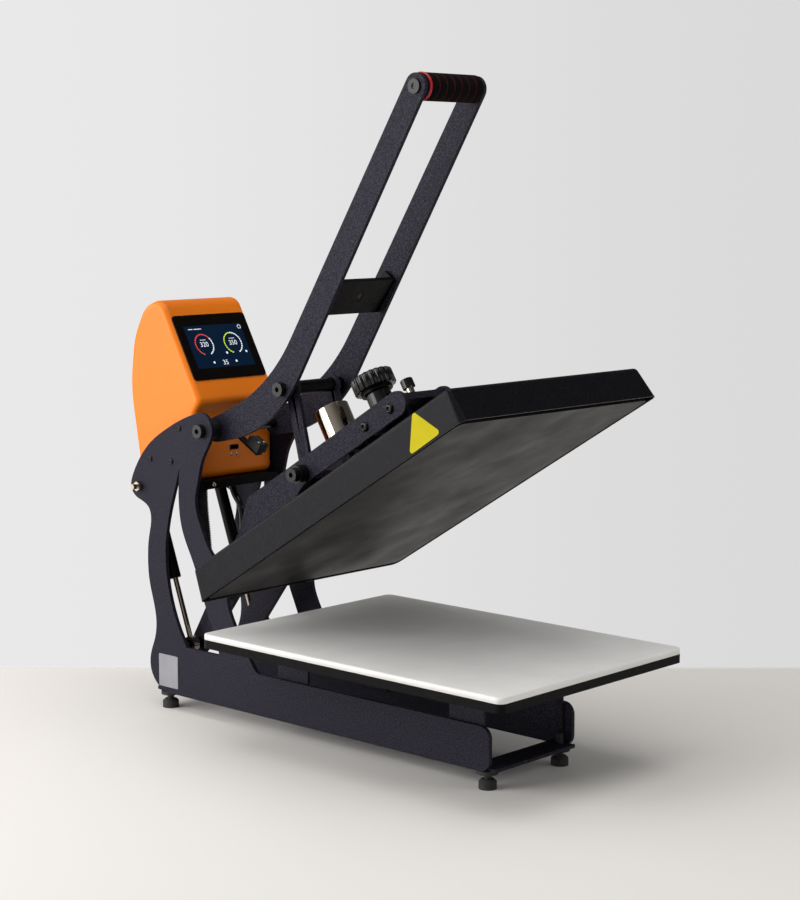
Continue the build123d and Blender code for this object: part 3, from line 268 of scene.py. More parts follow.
# CAD nodes: their material, and the width of the soft edge that they get
NODE_LOOKS = {
    "coat": (0.7, (
        "left_side_plate", "right_side_plate", "left_handle_arm", "right_handle_arm", "links",
        "left_lever", "right_lever", "lift_plate", "lever_bridges",
        "magnet_plate", "platen_supports", "foot_plates",
    )),
    "cover_coat": (0, ("top_cover",)),
    "smooth_paint": (0.5, (
        "cross_tube", "box_tray", "box_spacers", "lever_hinge_tube", "lower_platen",
        "left_spring_cylinder", "right_spring_cylinder", "platen_posts", "keeper_crossbar",
        "pressure_spindle", "switch_bracket",
    )),
    "nonstick": (0.8, ("heat_plate",)),
    "steel": (0.3, ("grip_tube", "heating_element")),
    "chrome": (0.3, (
        "release_magnet", "stop_post", "left_spring_rod", "right_spring_rod", "spring_upper_pins",
    )),
    "blackened_steel": (0.5, ("pivot_shafts", "handle_bolts", "lever_pins")),
    "orange_shell": (0, ("box_front_shell", "box_rear_cover")),
    "matte_plastic": (0.3, (
        "pivot_bushes", "mains_inlet", "power_switch_housing", "service_port", "handle_switch",
        "tray_glands", "cover_glands",
    )),
    "gloss_plastic": (0.4, ("pressure_knob", "knob_sleeve")),
    "bezel_glass": (0.4, ("screen_bezel",)),
    "rubber": (0.8, (
        "front_left_foot", "front_right_foot", "rear_left_foot", "rear_right_foot",
        "heater_conduit", "sensor_lead",
    )),
    "foam": (2.0, ("foam_grip",)),
    "red_rubber": (0.6, ("grip_rings", "power_rocker")),
    "silicone": (1.0, ("silicone_pad",)),
    "blanket": (0, ("insulation_blanket",)),
    "board": (0, ("control_board",)),
    "screen_glass": (0, ("touch_display",)),
}
SHARP_ANGLE = math.radians(38)


def soften(obj, width):
    """Welds the node's faces and rounds its sharp edges, with modifiers only."""
    weld = obj.modifiers.new("weld", "WELD")
    weld.merge_threshold = 0.002 * MM
    bevel = obj.modifiers.new("edges", "BEVEL")
    bevel.width = width * MM
    bevel.segments = 2
    bevel.limit_method = "ANGLE"
    bevel.angle_limit = SHARP_ANGLE
    bevel.harden_normals = False
    normals = obj.modifiers.new("normals", "WEIGHTED_NORMAL")
    normals.keep_sharp = True


def dress_nodes():
    for look, (width, names) in NODE_LOOKS.items():
        for name in names:
            node = nodes[name]
            node.data.materials.clear()
            node.data.materials.append(MATERIALS[look])
            if width:
                soften(node, width)


# Mesh helpers
CORNER_STEPS = 8


def add_object(name, data):
    obj = bpy.data.objects.new(name, data)
    bpy.context.scene.collection.objects.link(obj)
    return obj


def dressed(name, mesh, material, smooth=True):
    """Turns a bmesh in the row frame into an object with a finish of the table."""
    data = bpy.data.meshes.new(name)
    bmesh.ops.recalc_face_normals(mesh, faces=mesh.faces)
    mesh.to_mesh(data)
    mesh.free()
    for polygon in data.polygons:
        polygon.use_smooth = smooth
    data.materials.append(MATERIALS[material])
    return add_object(name, data)


def add_piece(name, mesh, material, body, smooth=True):
    """Turns a bmesh in the row frame into a piece that rides on a body."""
    obj = dressed(name, mesh, material, smooth)
    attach(obj, body)
    return obj


def add_sheet(name, points, thickness, material, body):
    """Adds a thin flat piece with the given outline."""
    mesh = bmesh.new()
    mesh.faces.new([mesh.verts.new(point) for point in points])
    sheet = add_piece(name, mesh, material, body, smooth=False)
    solid = sheet.modifiers.new("thickness", "SOLIDIFY")
    solid.thickness = thickness * MM
    solid.offset = 0


def curve_mesh(name, curve):
    """Mesh of a curve, made through an object that is removed again."""
    source = add_object(name, curve)
    bpy.context.view_layer.update()
    data = bpy.data.meshes.new_from_object(source.evaluated_get(bpy.context.evaluated_depsgraph_get()))
    bpy.data.objects.remove(source)
    return data


def axes_for(normal, across=Vector((1, 0, 0))):
    """Matrix whose Z runs along normal and whose X is as near to across as it can be."""
    z = normal.normalized()
    x = (across - z * across.dot(z)).normalized()
    return Matrix((x, z.cross(x), z)).transposed()


def hexagon(angle):
    """Radius of a hexagon of apothem 1 at an angle."""
    sixth = math.pi / 3
    return 1 / math.cos((angle % sixth) - sixth / 2)


def lathe(mesh, profile, centre, normal, steps=24, outline=hexagon):
    """Adds a turned shape; each profile point is a radius, a height and whether it takes the outline."""
    turn = axes_for(normal, Vector((0, 1, 0)) if abs(normal.normalized().y) < 0.9 else Vector((1, 0, 0)))
    rings = []
    for radius, height, shaped in profile:
        if radius == 0:
            rings.append([mesh.verts.new(centre + turn @ Vector((0, 0, height)) * MM)])
            continue
        ring = []
        for step in range(steps):
            angle = 2 * math.pi * step / steps
            reach = radius * (outline(angle) if shaped else 1)
            spot = Vector((reach * math.cos(angle), reach * math.sin(angle), height)) * MM
            ring.append(mesh.verts.new(centre + turn @ spot))
        rings.append(ring)
    for lower, upper in zip(rings, rings[1:]):
        for step in range(steps):
            following = (step + 1) % steps
            if len(lower) == 1:
                mesh.faces.new((lower[0], upper[step], upper[following]))
            elif len(upper) == 1:
                mesh.faces.new((lower[step], lower[following], upper[0]))
            else:
                mesh.faces.new((lower[step], lower[following], upper[following], upper[step]))


def button_head(radius, height):
    """Profile of a button-head screw with a hexagon socket."""
    socket = radius * 0.38
    return (
        (0, height * 0.35, False), (socket, height * 0.35, True), (socket, height * 0.94, True),
        (radius * 0.55, height, False), (radius * 0.8, height * 0.82, False),
        (radius, height * 0.35, False), (radius, -0.2, False), (0, -0.2, False),
    )


def add_screws(name, spots, size, material, body):
    """Adds button-head screws; size is the head's radius and height."""
    mesh = bmesh.new()
    for centre, normal in spots:
        lathe(mesh, button_head(*size), centre, normal)
    add_piece(name, mesh, material, body)


def rounded_outline(corners, radius=0):
    """Points of an outline with rounded corners; a corner may bring a radius of its own."""
    points = []
    count = len(corners)
    for index in range(count):
        corner = Vector(corners[index][:2])
        reach = corners[index][2] if len(corners[index]) > 2 else radius
        before = (Vector(corners[index - 1][:2]) - corner).normalized()
        after = (Vector(corners[(index + 1) % count][:2]) - corner).normalized()
        half = before.angle(after) / 2
        centre = corner + (before + after).normalized() * reach / math.sin(half)
        start = corner + before * reach / math.tan(half) - centre
        end = corner + after * reach / math.tan(half) - centre
        for step in range(CORNER_STEPS + 1):
            share = step / CORNER_STEPS
            spot = (start * (1 - share) + end * share).normalized() * reach
            points.append(centre + spot)
    return points


def stack(mesh, rings):
    """Joins rings of as many points each with side faces, and closes the first and the last."""
    made = [[mesh.verts.new(point) for point in ring] for ring in rings]
    for lower, upper in zip(made, made[1:]):
        for step in range(len(lower)):
            following = (step + 1) % len(lower)
            mesh.faces.new((lower[step], lower[following], upper[following], upper[step]))
    mesh.faces.new(made[0])
    mesh.faces.new(made[-1])


# Screws that hold the control box between the side plates (y, z), and the levers' bridge screws (forward, up)
BOX_SCREWS = ((286.5, 424.3), (351.6, 374.3), (305.0, 374.3))
BOX_SCREW_SIZE = (4.2, 2.6)
LEVER_SCREWS = ((329, 120), (275, 120))
LEVER_SCREW_SIZE = (7.0, 4.0)
SIDE_FACE = 89
LEVER_FACE = 49.5


def add_side_screws():
    spots = [(place(side * SIDE_FACE, y, z), Vector((side, 0, 0))) for side in SIDES for y, z in BOX_SCREWS]
    add_screws("box_screws", spots, BOX_SCREW_SIZE, "blackened_steel", "frame")
    spots = [
        (on_platen(side * LEVER_FACE, forward, up), Vector((side, 0, 0)))
        for side in SIDES for forward, up in LEVER_SCREWS
    ]
    add_screws("lever_screws", spots, LEVER_SCREW_SIZE, "blackened_steel", "upper_platen")


# Small screws under the port and on the tray
PORT_SCREW_SPREAD = 10
PORT_SCREW_DROP = 6.5
PORT_SCREW_SIZE = (2.8, 1.4)
TRAY_SCREW_X = -52
TRAY_SCREW_SIZE = (3.6, 2.4)


def add_box_screws():
    forward = Vector((0, -1, 0))
    low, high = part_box("service_port")
    spots = []
    for offset in (-PORT_SCREW_SPREAD / 2, PORT_SCREW_SPREAD / 2):
        x = (low.x + high.x) / 2 + offset * MM
        spots.append((Vector((x, low.y, low.z - PORT_SCREW_DROP * MM)), forward))
    add_screws("port_screws", spots, PORT_SCREW_SIZE, "chrome", "frame")
    low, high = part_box("box_tray")
    spots = [(Vector((TRAY_SCREW_X * MM, low.y, (low.z + high.z) / 2)), forward)]
    add_screws("tray_screws", spots, TRAY_SCREW_SIZE, "chrome", "frame")


# Yellow triangle patch on the near wall of the cover, left plain
PATCH_CORNERS = ((487, 49.0), (522, 3.0), (460, 1.5))
PATCH_RADIUS = 4.0
PATCH_LIFT = 0.25
PATCH_THICKNESS = 0.2


def add_patch():
    points = []
    for forward, up in rounded_outline(PATCH_CORNERS, PATCH_RADIUS):
        x = -COVER_HALF_WIDTH + up * math.tan(COVER_TAPER) - PATCH_LIFT
        points.append(on_platen(x, forward, up))
    add_sheet("wall_patch", points, PATCH_THICKNESS, "yellow_vinyl", "upper_platen")


# Blank silver plate low on the near side plate
LABEL_LOW = (297, 34)
LABEL_HIGH = (339, 83)
LABEL_RADIUS = 2.0
LABEL_LIFT = 0.25
LABEL_THICKNESS = 0.3


def add_label():
    corners = (LABEL_LOW, (LABEL_HIGH[0], LABEL_LOW[1]), LABEL_HIGH, (LABEL_LOW[0], LABEL_HIGH[1]))
    points = [place(-SIDE_FACE - LABEL_LIFT, y, z) for y, z in rounded_outline(corners, LABEL_RADIUS)]
    add_sheet("blank_plate", points, LABEL_THICKNESS, "silver_foil", "frame")


# Screen: two ring gauges, their numbers, and small plain marks
GAUGE_SPREAD = 28.5
GAUGE_UP = 3.4
GAUGE_RADIUS = 16.6
GAUGE_WIDTH = 2.0
GAUGE_DASHES = 24
DASH_SHARE = 0.8
GAUGE_START = math.radians(252)
GAUGE_SWEEP = math.radians(322)
SCREEN_LIFT = 0.12
FONT_SIZE = 11.0
LOW_NUMBER_UP = -27.5
DOTS = ((-22, -26.3), (22, -26.3), (9.6, -12), (48.5, -12))
DOT_RADIUS = 1.9
TITLE_BARS = ((-45, 9), (-31, 15))
TITLE_UP = 29
COG_X = 52
COG_TEETH = 8


def display_frame():
    """Centre and axes of the display's outer face, read from the node."""
    node = nodes["touch_display"].data
    best = max(node.polygons, key=lambda face: face.area * (1 if face.normal.y < 0 else 0))
    low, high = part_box("touch_display")
    centre = (low + high) / 2
    normal = best.normal.normalized()
    centre += normal * (best.center - centre).dot(normal)
    return centre, axes_for(normal)


def screen_mesh(mesh, outline):
    centre, turn = display_frame()
    mesh.faces.new([mesh.verts.new(centre + turn @ Vector((x, y, SCREEN_LIFT)) * MM) for x, y in outline])


def dash(radius, width, start, end, x, y):
    """Outline of a short arc dash."""
    points = []
    for reach, first, last in ((radius + width / 2, start, end), (radius - width / 2, end, start)):
        for share in (0, 0.5, 1):
            angle = first + (last - first) * share
            points.append((x + reach * math.cos(angle), y + reach * math.sin(angle)))
    return points


def disc(radius, x, y, steps=16):
    return [
        (x + radius * math.cos(2 * math.pi * step / steps), y + radius * math.sin(2 * math.pi * step / steps))
        for step in range(steps)
    ]


def bar(width, height, x, y):
    return [
        (x - width / 2, y - height / 2), (x + width / 2, y - height / 2),
        (x + width / 2, y + height / 2), (x - width / 2, y + height / 2),
    ]


def add_gauge(name, side, color, lit_share):
    lit, rest = bmesh.new(), bmesh.new()
    x, y = side * GAUGE_SPREAD, GAUGE_UP
    step = GAUGE_SWEEP / GAUGE_DASHES
    for index in range(GAUGE_DASHES):
        start = GAUGE_START - index * step
        end = start - step * DASH_SHARE
        target = lit if index < lit_share * GAUGE_DASHES else rest
        screen_mesh(target, dash(GAUGE_RADIUS, GAUGE_WIDTH, start, end, x, y))
    add_piece(name + "_lit", lit, color, "frame", smooth=False)
    add_piece(name + "_rest", rest, "lit_white", "frame", smooth=False)


def add_number(name, text, x, y):
    """A number on the screen, turned from a text curve into a flat mesh."""
    curve = bpy.data.curves.new(name, "FONT")
    curve.body = text
    curve.size = FONT_SIZE * MM
    curve.align_x = "CENTER"
    curve.align_y = "CENTER"
    data = curve_mesh(name + "_curve", curve)
    centre, turn = display_frame()
    origin = centre + turn @ Vector((x, y, SCREEN_LIFT)) * MM
    data.transform(Matrix.Translation(origin) @ turn.to_4x4())
    data.materials.clear()
    data.materials.append(MATERIALS["lit_white"])
    number = add_object(name, data)
    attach(number, "frame")


def add_screen():
    add_gauge("left_gauge", LEFT, "lit_red", 0.66)
    add_gauge("right_gauge", RIGHT, "lit_green", 0.5)
    add_number("left_number", "320", -GAUGE_SPREAD, GAUGE_UP)
    add_number("right_number", "350", GAUGE_SPREAD, GAUGE_UP)
    add_number("low_number", "35", 0, LOW_NUMBER_UP)
    marks = bmesh.new()
    for x, y in DOTS:
        screen_mesh(marks, disc(DOT_RADIUS, x, y))
    for x, width in TITLE_BARS:
        screen_mesh(marks, bar(width, 1.1, x, TITLE_UP))
    for side in SIDES:
        screen_mesh(marks, bar(11, 0.8, side * GAUGE_SPREAD, GAUGE_UP + 7.5))
    step = 2 * math.pi / COG_TEETH
    for index in range(COG_TEETH):
        screen_mesh(marks, dash(3.0, 1.3, index * step, (index + 0.75) * step, COG_X, TITLE_UP))
    add_piece("screen_marks", marks, "lit_white", "frame", smooth=False)


# Grip: a foam sleeve with narrow red grooves, a red ring near one end and a black cap at that end
GRIP_PLACE = (-151, 902)
GRIP_RADIUS = 18.5
GRIP_HALF = 55.2
FOAM_START = -46.9
RING_START = -51.6
GROOVES = 6
GROOVE_WIDTH = 1.4
GROOVE_DEPTH = 1.1
GRIP_STEPS = 64


def turned_grip(name, profile, material, node):
    mesh = bmesh.new()
    closed = [(0, profile[0][1], False)] + profile + [(0, profile[-1][1], False)]
    lathe(mesh, closed, place(0, *GRIP_PLACE), Vector((1, 0, 0)), GRIP_STEPS)
    piece = add_piece(name, mesh, material, "handle")
    if node:
        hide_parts(node)
    return piece


def add_grip():
    profile = [(GRIP_RADIUS - 1.2, FOAM_START, False), (GRIP_RADIUS, FOAM_START + 1.2, False)]
    pitch = (GRIP_HALF - FOAM_START) / (GROOVES + 1)
    for count in range(GROOVES):
        middle = FOAM_START + (count + 1) * pitch
        half = GROOVE_WIDTH / 2
        profile += [
            (GRIP_RADIUS, middle - half - 0.5, False), (GRIP_RADIUS - 0.3, middle - half, False),
            (GRIP_RADIUS - GROOVE_DEPTH, middle - half * 0.6, False),
            (GRIP_RADIUS - GROOVE_DEPTH, middle + half * 0.6, False),
            (GRIP_RADIUS - 0.3, middle + half, False), (GRIP_RADIUS, middle + half + 0.5, False),
        ]
    profile += [(GRIP_RADIUS, GRIP_HALF - 1.2, False), (GRIP_RADIUS - 1.2, GRIP_HALF, False)]
    foam = turned_grip("ribbed_foam", profile, "foam", "foam_grip")
    foam.data.materials.append(MATERIALS["red_groove"])
    centre = place(0, *GRIP_PLACE)
    for polygon in foam.data.polygons:
        offset = polygon.center - centre
        offset.x = 0
        in_groove = offset.length < (GRIP_RADIUS - 0.7) * MM
        if in_groove and abs(polygon.center.x) < (GRIP_HALF - 4) * MM and polygon.center.x > (FOAM_START + 3) * MM:
            polygon.material_index = 1
    ring = (GRIP_RADIUS + 0.5, GRIP_RADIUS - 0.6)
    turned_grip("red_ring", [
        (ring[1], RING_START, False), (ring[0], RING_START + 0.9, False),
        (ring[0], FOAM_START - 0.9, False), (ring[1], FOAM_START - 0.1, False),
    ], "red_rubber", "grip_rings")
    turned_grip("grip_cap", [
        (GRIP_RADIUS - 1.8, -GRIP_HALF, False), (GRIP_RADIUS - 0.8, -GRIP_HALF + 0.8, False),
        (GRIP_RADIUS - 0.8, RING_START - 0.1, False),
    ], "foam", None)


# Keeper: the crossbar with its slot, the flanges at its ends
KEEPER_PLACE = (7.15, 621.46)
KEEPER_TURN = math.radians(54.3)
KEEPER_HALF = 55.2
KEEPER_DEPTH = 29
KEEPER_THICKNESS = 6
KEEPER_FLANGE = 14
SLOT_HALF_LENGTH = 7.0
SLOT_RADIUS = 3.6
SLOT_STEPS = 40


def keeper_spot(x, y, up):
    """Place of a point of the keeper given across, to the rear and up in its own frame."""
    sine, cosine = math.sin(KEEPER_TURN), math.cos(KEEPER_TURN)
    return place(x, KEEPER_PLACE[0] + y * cosine + up * sine, KEEPER_PLACE[1] - y * sine + up * cosine)


def keeper_rings(up_low, up_high):
    """Rings of the slot and of the plate's edge, low and high; the edge's points lie on rays from the middle."""
    slot, edge = [], []
    for step in range(SLOT_STEPS):
        angle = 2 * math.pi * (step + 0.5) / SLOT_STEPS
        x, y = math.cos(angle), math.sin(angle)
        end = math.copysign(SLOT_HALF_LENGTH - SLOT_RADIUS, y)
        slot.append((SLOT_RADIUS * x, SLOT_RADIUS * y + end))
        scale = min(KEEPER_HALF / abs(x), KEEPER_DEPTH / abs(y))
        edge.append((x * scale, y * scale))
    corner = math.atan2(KEEPER_DEPTH, KEEPER_HALF)
    for sign_x in SIDES:
        for sign_y in SIDES:
            target = math.atan2(sign_y * math.sin(corner), sign_x * math.cos(corner))
            nearest = min(
                range(SLOT_STEPS), key=lambda index: abs(math.remainder(
                    2 * math.pi * (index + 0.5) / SLOT_STEPS - target, 2 * math.pi,
                )),
            )
            edge[nearest] = (sign_x * KEEPER_HALF, sign_y * KEEPER_DEPTH)
    return [
        [keeper_spot(x, y, up) for x, y in outline]
        for outline, up in ((slot, up_low), (edge, up_low), (edge, up_high), (slot, up_high))
    ]


def add_keeper():
    mesh = bmesh.new()
    rings = keeper_rings(0, KEEPER_THICKNESS)
    made = [[mesh.verts.new(point) for point in ring] for ring in rings]
    made.append(made[0])
    for lower, upper in zip(made, made[1:]):
        for step in range(SLOT_STEPS):
            following = (step + 1) % SLOT_STEPS
            mesh.faces.new((lower[step], lower[following], upper[following], upper[step]))
    top = KEEPER_THICKNESS + KEEPER_FLANGE
    for side in SIDES:
        inner, outer = side * (KEEPER_HALF - KEEPER_THICKNESS), side * KEEPER_HALF
        rings = []
        for up in (KEEPER_THICKNESS - 0.1, top):
            rings.append([
                keeper_spot(x, y, up) for x, y in (
                    (inner, -KEEPER_DEPTH), (outer, -KEEPER_DEPTH), (outer, KEEPER_DEPTH), (inner, KEEPER_DEPTH),
                )
            ])
        stack(mesh, rings)
    keeper = add_piece("slotted_keeper", mesh, "smooth_paint", "handle")
    soften(keeper, 0.7)
    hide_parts("keeper_crossbar")


# Levers with the deep belly that hides behind the cover; forward, up and corner radius
LEVER_CORNERS = (
    (360.0, 137.3, 16.5), (10.0, 137.3, 17.0), (-27.0, 105.4, 17.0),
    (-219.34, 4.27, 17.0), (-206.0, -24.98, 17.0), (125.0, 104.1, 60.0), (360.0, 104.1, 16.5),
)
LEVER_THICKNESS = 6


def add_levers():
    outline = rounded_outline(LEVER_CORNERS)
    for side, node in ((LEFT, "left_lever"), (RIGHT, "right_lever")):
        mesh = bmesh.new()
        rings = []
        for x in (side * LEVER_FACE, side * (LEVER_FACE - LEVER_THICKNESS)):
            rings.append([on_platen(x, forward, up) for forward, up in outline])
        stack(mesh, rings)
        lever = add_piece("deep_" + node, mesh, "coat", "upper_platen")
        soften(lever, 0.7)
        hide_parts(node)


# Pressure knob with its flutes, a raised rim and a sunk middle
KNOB_FORWARD = 277
KNOB_BOTTOM = 172
KNOB_RADIUS = 30.5
KNOB_HEIGHT = 22
KNOB_RECESS = 22.7
STEPS_PER_FLUTE = 12
FLUTES = 20
FLUTE_RADIUS = 3.3
FLUTE_CENTRE = 31.6


def fluted(angle):
    """Share of the knob's radius that is left at an angle, with the flutes cut away."""
    pitch = 2 * math.pi / FLUTES
    offset = (angle + pitch / 2) % pitch - pitch / 2
    across = FLUTE_CENTRE * math.sin(offset)
    if abs(across) >= FLUTE_RADIUS:
        return 1
    reach = FLUTE_CENTRE * math.cos(offset) - math.sqrt(FLUTE_RADIUS ** 2 - across ** 2)
    return min(1, reach / KNOB_RADIUS)


def add_knob():
    mesh = bmesh.new()
    top = KNOB_HEIGHT
    profile = (
        (0, 0, False), (KNOB_RADIUS - 1.5, 0, True), (KNOB_RADIUS, 1.2, True), (KNOB_RADIUS, top - 2.4, True),
        (KNOB_RADIUS - 0.7, top - 0.9, True), (KNOB_RADIUS - 2.4, top, True),
        (KNOB_RECESS + 1.4, top, False), (KNOB_RECESS, top - 0.8, False), (KNOB_RECESS - 0.4, top - 2.5, False),
        (10.4, top - 2.5, False), (9.8, top - 1.4, False), (6.2, top - 1.2, False), (5.6, top - 2.8, False),
        (0, top - 2.8, False),
    )
    upward = on_platen(0, 0, 1) - on_platen(0, 0, 0)
    lathe(mesh, profile, on_platen(0, KNOB_FORWARD, KNOB_BOTTOM), upward, FLUTES * STEPS_PER_FLUTE, fluted)
    knob = add_piece("fluted_knob", mesh, "gloss_plastic", "knob")
    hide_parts("pressure_knob")


# Lower pad: a silicone sheet with rounded edges
PAD_HALF = (190, 270)
PAD_MIDDLE = -139.65
PAD_BASE, PAD_TOP = 152.14, 160.14
PAD_RADIUS = 10
PAD_EDGE = 2.2
PAD_EDGE_STEPS = 5


def add_pad():
    rings = []
    levels = [(0, PAD_BASE)]
    for step in range(PAD_EDGE_STEPS + 1):
        angle = math.pi / 2 * step / PAD_EDGE_STEPS
        levels.append((PAD_EDGE * (1 - math.cos(angle)), PAD_TOP - PAD_EDGE * (1 - math.sin(angle))))
    for inset, z in levels:
        half_x, half_y = PAD_HALF[0] - inset, PAD_HALF[1] - inset
        corners = ((-half_x, -half_y), (half_x, -half_y), (half_x, half_y), (-half_x, half_y))
        rings.append([place(x, PAD_MIDDLE + y, z) for x, y in rounded_outline(corners, PAD_RADIUS - inset)])
    mesh = bmesh.new()
    stack(mesh, rings)
    pad = add_piece("soft_pad", mesh, "silicone", "frame")
    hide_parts("silicone_pad")


# Handle switch: a housing in two halves with two silver screws on top
SWITCH_END = (181, 390)
SWITCH_ALONG = Vector((0, 0.8627, 0.5057))
SWITCH_UP = Vector((0, -0.5057, 0.8627))
SWITCH_LIFT = 1.25
SWITCH_SPAN = (-35.5, -17.0)
SWITCH_GAP = 0.4
SWITCH_SCREWS = (-31.5, -21.5)
SWITCH_SCREW_SIZE = (2.6, 1.8)


def switch_spot(x, along, up):
    return place(x, *SWITCH_END) + (SWITCH_ALONG * along + SWITCH_UP * (up + SWITCH_LIFT)) * MM


def add_switch():
    mesh = bmesh.new()
    low, high = SWITCH_SPAN
    middle = (low + high) / 2
    for start, end, length, height in (
        (low, middle - SWITCH_GAP / 2, 26, 15), (middle + SWITCH_GAP / 2, high, 25, 14.4),
    ):
        rings = []
        for up in (0, height):
            rings.append([switch_spot(x, along, up) for x, along in (
                (start, 0), (end, 0), (end, length), (start, length),
            )])
        stack(mesh, rings)
    housing = add_piece("switch_housing", mesh, "matte_plastic", "frame")
    soften(housing, 1.2)
    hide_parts("handle_switch")
    spots = [(switch_spot(x, 7, 14.2), SWITCH_UP) for x in SWITCH_SCREWS]
    add_screws("switch_screws", spots, SWITCH_SCREW_SIZE, "chrome", "frame")


# Parts of a node in a second finish
STOP_HEAD_UP = 145.2


def paint_stop_head():
    node = nodes["stop_post"].data
    node.materials.append(MATERIALS["gloss_plastic"])
    upward = (on_platen(0, 0, 1) - on_platen(0, 0, 0)).normalized()
    limit = on_platen(0, 0, STOP_HEAD_UP).dot(upward)
    for polygon in node.polygons:
        if polygon.center.dot(upward) > limit:
            polygon.material_index = 1


# Leads: the same routes as in the part's source
CONDUIT_RADIUS = 10.6
CONDUIT_ROUTE = (
    (-62, 272, 336), (-62, 272, 312), (-62, 265, 262), (-62, 262, 212), (-62, 241, 187),
)
CONDUIT_ENTRY = 24
RIB_PITCH = 3.4
RINGS_PER_RIB = 4
LEAD_SPACING = 4
RIB_DEPTH = 1.5
LEAD_RADIUS = 5.0
LEAD_ROUTE = (
    (6, 278, 336), (6, 278, 324), (6, 255, 300), (6, 255, 258), (6, 256, 214), (6, 238, 193),
)
LEAD_ENTRY = 30
WALL_RUN = 84
GLAND_HEIGHT = 9
TUBE_STEPS = 24


def smooth_route(route, entry):
    """Points, in metres, along the smooth line through a lead's route up to the cover's rear wall."""
    x = route[0][0]
    wall = on_platen(x, entry * math.tan(COVER_TAPER), entry)
    outward = Vector((0, math.cos(OPEN_ANGLE), -math.sin(OPEN_ANGLE))) * MM
    points = [place(*point) for point in route]
    points += [wall + outward * WALL_RUN, wall + outward * GLAND_HEIGHT]
    curve = bpy.data.curves.new("route", "CURVE")
    curve.dimensions = "3D"
    spline = curve.splines.new("NURBS")
    spline.points.add(len(points) - 1)
    for target, point in zip(spline.points, points):
        target.co = (*point, 1)
    spline.order_u = 3
    spline.use_endpoint_u = True
    spline.resolution_u = 40
    return [vertex.co.copy() for vertex in curve_mesh("route", curve).vertices]


def walk(line, spacing):
    """Evenly spaced points and directions along a line of points."""
    spots = []
    travelled, target = 0.0, 0.0
    for start, end in zip(line, line[1:]):
        run = (end - start).length
        while target <= travelled + run and run > 0:
            spots.append((start.lerp(end, (target - travelled) / run), (end - start).normalized()))
            target += spacing
        travelled += run
    spots.append((line[-1], (line[-1] - line[-2]).normalized()))
    return spots


def add_tube(name, line, spacing, radius_at, node, material):
    """A tube along a line that runs from frame to platen; radius_at gives its radius at each ring's index."""
    rings = []
    for index, (spot, direction) in enumerate(walk(line, spacing)):
        turn = axes_for(direction)
        reach = radius_at(index) * MM
        ring = []
        for step in range(TUBE_STEPS):
            angle = 2 * math.pi * step / TUBE_STEPS
            ring.append(spot + turn @ Vector((math.cos(angle), math.sin(angle), 0)) * reach)
        rings.append(ring)
    mesh = bmesh.new()
    stack(mesh, rings)
    tube = dressed(name, mesh, material)
    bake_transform(tube)
    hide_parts(node)


def add_leads():
    def rib(index):
        return CONDUIT_RADIUS - (RIB_DEPTH if index % RINGS_PER_RIB in (2, 3) else 0)

    line = smooth_route(CONDUIT_ROUTE, CONDUIT_ENTRY)
    add_tube("ribbed_conduit", line, RIB_PITCH / RINGS_PER_RIB * MM, rib, "heater_conduit", "rubber")
    line = smooth_route(LEAD_ROUTE, LEAD_ENTRY)
    add_tube("round_lead", line, LEAD_SPACING * MM, lambda index: LEAD_RADIUS, "sensor_lead", "gloss_plastic")


# Stage, in metres: a pale floor that ends where the pale background starts, the room, lamps and camera
FLOOR_SIZE = 14.0
FLOOR_COLOR = (0.82, 0.79, 0.75)
FLOOR_ACROSS = (0.7349, 0.6782, 0)
FLOOR_END = 0.415
FLOOR_SOFT = 0.012
FLOOR_FADE = (1.1, 1.7)
# Wall colours that camera rays see: the right one is darker, which is painted shade blended across the view
WALL_LEFT = (0.822, 0.815, 0.822)
WALL_RIGHT_SHADED = (0.705, 0.7, 0.7)
WALL_ACROSS = (0.678, -0.735, 0)
WALL_SPREAD = 0.2
DARK_SIDE = (0.55, -0.75, 0.35)
DARK_SPAN = (-0.3, 0.8)
MIRROR_SHARE = 0.42
MIRROR_DARK_SHARE = 0.08
ROOM_DARK_SHARE = 0.65
ROOM_STRENGTH = 0.4
MIDDLE = (0, 0.1, 0.45)
# Each lamp's name, place, aim, size and watts
LAMPS = (
    ("side_softbox", (-2.4, 1.1, 1.2), MIDDLE, (1.6, 2.0), 52),
    ("top_softbox", (-0.2, -0.2, 2.8), MIDDLE, (2.4, 2.4), 34),
    ("front_fill", (1.2, -2.6, 1.3), MIDDLE, (1.6, 1.6), 12),
    ("left_strip", (-2.0, 2.5, 0.55), (-0.08, 0.33, 0.48), (0.9, 1.4), 12),
    ("rim_softbox", (-1.2, 2.6, 1.4), MIDDLE, (2.0, 1.2), 20),
)


def along(tree, vector, direction, start, end):
    """0 to 1 as a vector runs from start to end along a direction."""
    dot = tree.nodes.new("ShaderNodeVectorMath")
    dot.operation = "DOT_PRODUCT"
    dot.inputs[1].default_value = direction
    tree.links.new(vector, dot.inputs[0])
    spread = tree.nodes.new("ShaderNodeMapRange")
    spread.interpolation_type = "SMOOTHSTEP"
    spread.inputs["From Min"].default_value = start
    spread.inputs["From Max"].default_value = end
    tree.links.new(dot.outputs["Value"], spread.inputs["Value"])
    return spread.outputs["Result"]


def blend_colors(tree, share, first, second):
    mix = tree.nodes.new("ShaderNodeMix")
    mix.data_type = "RGBA"
    tree.links.new(share, mix.inputs["Factor"])
    mix.inputs["A"].default_value = (*first, 1)
    mix.inputs["B"].default_value = (*second, 1)
    return mix.outputs["Result"]


def mix_shaders(tree, share, first, second):
    mix = tree.nodes.new("ShaderNodeMixShader")
    tree.links.new(share, mix.inputs["Fac"])
    tree.links.new(first, mix.inputs[1])
    tree.links.new(second, mix.inputs[2])
    return mix.outputs["Shader"]


def math_node(tree, operation, first, second):
    node = tree.nodes.new("ShaderNodeMath")
    node.operation = operation
    tree.links.new(first, node.inputs[0])
    tree.links.new(second, node.inputs[1])
    return node.outputs[0]


